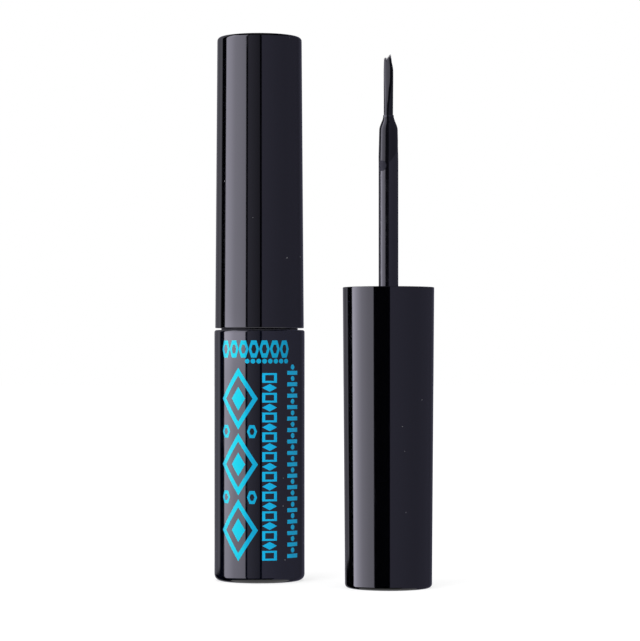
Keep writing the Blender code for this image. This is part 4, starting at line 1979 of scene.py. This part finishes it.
@dataclass(frozen=True)
class Card:
    """A curved card of light round the stage, seen only in the gloss.

    Its glow is given at azimuths in degrees, where zero faces the camera and minus is left. Each row
    has its height and the share of the glow that it keeps.
    """

    name: str
    stops: tuple[Span, ...]
    tint: Tint = Tint.PLAIN
    rows: tuple[Span, ...] = ((-0.13, 1.0), (0.42, 1.0))
    bottom_rise: float = 0.0
    soft: float = 1.5
    radius: float = 0.295
    column: float = 0.25

    def build(self, axis: Vector) -> bpy.types.Object:
        """Builds the card.

        Args:
            axis: The stage's middle.

        Returns:
            The card.
        """
        first, last = self.stops[0][0], self.stops[-1][0]
        columns = round((last - first) / self.column)
        points: list[Triple] = []
        colours: list[float] = []
        for column in range(columns + 1):
            share = column / columns
            azimuth = first + (last - first) * share
            angle = math.radians(azimuth)
            x, y = axis.x + self.radius * math.sin(angle), axis.y - self.radius * math.cos(angle)
            glow = self._glow(azimuth)
            for row, (height, kept) in enumerate(self.rows):
                rise = self.bottom_rise * share if row == 0 else 0.0
                points.append((x, y, height + rise))
                colours += (*(kept * part for part in glow), 1.0)
        high = len(self.rows)
        corners = [column * high + row for column in range(columns) for row in range(high - 1)]
        faces = [(corner, corner + high, corner + high + 1, corner + 1) for corner in corners]
        mesh = bpy.data.meshes.new(self.name)
        mesh.from_pydata(points, [], faces)
        mesh.attributes.new("glow", "FLOAT_COLOR", "POINT").data.foreach_set("color", colours)
        return Studio.hung(mesh, CardGlow("card_glow", see_through=True))

    def _glow(self, azimuth: float) -> Colour:
        """The card's radiance at one place, which fades at both edges.

        Args:
            azimuth: The place, in degrees.

        Returns:
            The radiance.
        """
        first, last = self.stops[0][0], self.stops[-1][0]
        level = self.stops[-1][1]
        for (start, low), (end, high) in zip(self.stops, self.stops[1:]):
            if start <= azimuth < end:
                level = low + (high - low) * (azimuth - start) / (end - start)
                break
        edge = min(1.0, (azimuth - first) / self.soft, (last - azimuth) / self.soft)
        return tuple(part * level * max(edge, 0.0) for part in self.tint.value)


DEEP_ROWS = ((-0.33, 1.0), (0.42, 1.0))
EDGE_ROWS = ((-0.0238, 1.0), (0.42, 1.0))
KEY_ROWS = (
    (-0.13, 0.75), (-0.02, 0.79), (0.005, 0.97), (0.037, 1.0), (0.0493, 1.3), (0.056, 1.0), (0.42, 1.0),
)
EDGE_RISE = 0.0034
INNER_RADIUS = 0.29


@dataclass
class Studio:
    """White floor and surroundings, light cards seen only in the gloss, a soft lamp and the camera."""

    axis: Vector
    left_pieces: Sequence[bpy.types.Object]
    right_pieces: Sequence[bpy.types.Object]
    drum_radius: float = 0.30
    drum_bottom: float = -0.33
    drum_top: float = 0.95
    drum_sides: int = 96
    lid_glow: float = 0.22
    base_glow: float = 1.0
    floor_size: float = 6.0
    ambient: float = 1.2
    lamp_power: float = 4.0
    lamp_size: float = 0.6
    lamp_offset: Triple = (-0.45, -0.55, 0.80)
    focal_px: float = 2514.0
    frame_px: float = 641.0
    sensor: float = 36.0
    camera_distance: float = 0.474
    camera_aside: float = 0.0114
    eye_height: float = 0.0423
    eye_below_middle_px: float = 35.0
    clip_start: float = 0.01
    clip_end: float = 20.0
    shared_cards: tuple[Card, ...] = (
        Card("back_card", ((-180, 0.25), (-149.4, 0.27)), Tint.GREY, DEEP_ROWS, soft=0.6),
        Card("side_card", ((39.4, 0.42), (90, 0.31), (116, 0.20), (131, 0.12), (180, 0.12)),
             Tint.BLUE, DEEP_ROWS, soft=0.6),
    )
    left_cards: tuple[Card, ...] = (
        Card("left_edge_card", ((-150, 0.27), (-136, 0.30), (-124, 0.62), (-117, 0.48)),
             Tint.GREY, EDGE_ROWS, EDGE_RISE, radius=INNER_RADIUS),
        Card("left_key_card",
             ((-101, 4.1), (-89, 4.45), (-82, 4.45), (-68, 3.7), (-51, 3.5), (-36.4, 3.15)),
             Tint.KEY, KEY_ROWS, soft=1.8, radius=INNER_RADIUS),
        Card("left_front_card", ((-32.4, 0.54), (0.3, 0.25)), soft=0.6, radius=INNER_RADIUS),
        Card("left_right_card", ((5.0, 0.50), (40, 0.42)), Tint.BLUE, soft=0.6, radius=INNER_RADIUS),
    )
    right_cards: tuple[Card, ...] = (
        Card("right_edge_card", ((-150, 0.27), (-138, 0.30), (-132, 0.56), (-126, 0.45)),
             Tint.GREY, EDGE_ROWS, EDGE_RISE),
        Card("right_key_card", ((-105, 5.3), (-95, 5.1), (-70, 3.2), (-50, 2.5), (-35.6, 2.35)),
             Tint.KEY, soft=1.8),
        Card("right_right_card", ((4.4, 0.47), (40, 0.42)), Tint.BLUE, soft=0.6),
    )

    def build(self) -> None:
        """Builds the floor, the surroundings, the cards, the lamp and the camera."""
        self._world()
        self._floor()
        self._drum()
        for card in self.shared_cards:
            card.build(self.axis)
        for cards, pieces in ((self.left_cards, self.left_pieces), (self.right_cards, self.right_pieces)):
            lit = bpy.data.collections.new(cards[0].name + "_receivers")
            for piece in pieces:
                lit.objects.link(piece)
            for card in cards:
                card.build(self.axis).light_linking.receiver_collection = lit
        LOG.info("studio: %d cards", len(self.shared_cards + self.left_cards + self.right_cards))
        self._lamp()
        self._camera()

    @staticmethod
    def hung(mesh: bpy.types.Mesh, finish: Finish) -> bpy.types.Object:
        """Hangs a card or a wall round the stage, where only the gloss shows it.

        Args:
            mesh: Its mesh.
            finish: Its glow.

        Returns:
            The object.
        """
        material = finish.material()
        material.cycles.emission_sampling = "NONE"
        mesh.materials.append(material)
        sheet = bpy.data.objects.new(mesh.name, mesh)
        bpy.context.scene.collection.objects.link(sheet)
        sheet.visible_camera = False
        sheet.visible_diffuse = False
        sheet.visible_shadow = False
        sheet.visible_transmission = False
        sheet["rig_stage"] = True
        return sheet

    @staticmethod
    def _sheet(name: str, shape: bmesh.types.BMesh) -> bpy.types.Mesh:
        """Turns an edit mesh into a plain one and frees it.

        Args:
            name: The new mesh's name.
            shape: The edit mesh.

        Returns:
            The plain mesh.
        """
        mesh = bpy.data.meshes.new(name)
        shape.to_mesh(mesh)
        shape.free()
        return mesh

    def _drum(self) -> None:
        """A dark drum behind the cards, with a dim lid and a pale bottom."""
        ends = (("drum_lid", self.drum_top, self.lid_glow), ("drum_base", self.drum_bottom, self.base_glow))
        for name, height, glow in ends:
            shape = bmesh.new()
            place = Matrix.Translation((self.axis.x, self.axis.y, height))
            bmesh.ops.create_circle(
                shape, cap_ends=True, segments=self.drum_sides, radius=self.drum_radius, matrix=place
            )
            mesh = self._sheet(name, shape)
            colours = (glow, glow, glow, 1.0) * len(mesh.vertices)
            mesh.attributes.new("glow", "FLOAT_COLOR", "POINT").data.foreach_set("color", colours)
            self.hung(mesh, CardGlow("wall_glow"))
        shape = bmesh.new()
        place = Matrix.Translation((self.axis.x, self.axis.y, (self.drum_top + self.drum_bottom) / 2))
        bmesh.ops.create_cone(
            shape,
            segments=self.drum_sides,
            radius1=self.drum_radius,
            radius2=self.drum_radius,
            depth=self.drum_top - self.drum_bottom,
            matrix=place,
        )
        self.hung(self._sheet("drum_wall", shape), CardGlow("wall_glow"))

    def _world(self) -> None:
        """White to the camera and in reflections, an even plain light to everything else."""
        world = bpy.data.worlds.new("studio")
        bpy.context.scene.world = world
        world.use_nodes = True
        graph = Graph(world.node_tree)
        colour = graph.mixed(shown(graph).does("MINIMUM", 1.0), (self.ambient,) * 3, WHITE)
        background = graph.node("ShaderNodeBackground", {}, {"Color": colour})[0]
        graph.node("ShaderNodeOutputWorld", {}, {"Surface": background})

    def _floor(self) -> None:
        """The white floor."""
        shape = bmesh.new()
        bmesh.ops.create_grid(shape, x_segments=1, y_segments=1, size=self.floor_size / 2)
        mesh = self._sheet("studio_floor", shape)
        floor = bpy.data.objects.new("studio_floor", mesh)
        mesh.materials.append(StudioFloor("studio_floor").material())
        bpy.context.scene.collection.objects.link(floor)
        floor.visible_glossy = False
        floor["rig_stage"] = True

    def _lamp(self) -> None:
        """A large soft lamp above and to the left, which isn't seen in the gloss."""
        light = bpy.data.lights.new("soft_lamp", "AREA")
        light.shape = "DISK"
        light.size = self.lamp_size
        light.energy = self.lamp_power
        lamp = bpy.data.objects.new("soft_lamp", light)
        spot = self.axis + Vector(self.lamp_offset)
        lamp.location = spot
        lamp.rotation_euler = (self.axis - spot).to_track_quat("-Z", "Y").to_euler()
        lamp.visible_glossy = False
        bpy.context.scene.collection.objects.link(lamp)

    def _camera(self) -> None:
        """The camera, level, at the photograph's distance and eye height."""
        view = bpy.data.cameras.new("camera")
        view.sensor_width = self.sensor
        view.lens = self.sensor * self.focal_px / self.frame_px
        view.shift_y = self.eye_below_middle_px / self.frame_px
        view.clip_start = self.clip_start
        view.clip_end = self.clip_end
        camera = bpy.data.objects.new("camera", view)
        bottle = Extent.of("bottle_case").axis
        camera.location = (bottle.x + self.camera_aside, bottle.y - self.camera_distance, self.eye_height)
        camera.rotation_euler = (math.pi / 2, 0, 0)
        bpy.context.scene.collection.objects.link(camera)
        bpy.context.scene.camera = camera


def dressed() -> list[bpy.types.Object]:
    """The scene's own pieces so far, without the solids of the CAD."""
    return [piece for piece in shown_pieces() if "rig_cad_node" not in piece]


def main() -> None:
    logging.basicConfig(level=logging.INFO, format="%(name)s: %(message)s")
    Bottle().build()
    CapSet(Posture.SCREWED_ON).build()
    left = dressed()
    CapSet(Posture.TAKEN_OUT).build()
    right = [piece for piece in dressed() if piece not in left]
    middle = (Extent.of("cap_shell").axis + Extent.of("open_cap_shell").axis) / 2
    Studio(middle, left, right).build()
    bpy.context.scene.view_settings.view_transform = "Standard"


if __name__ == "__main__":
    main()
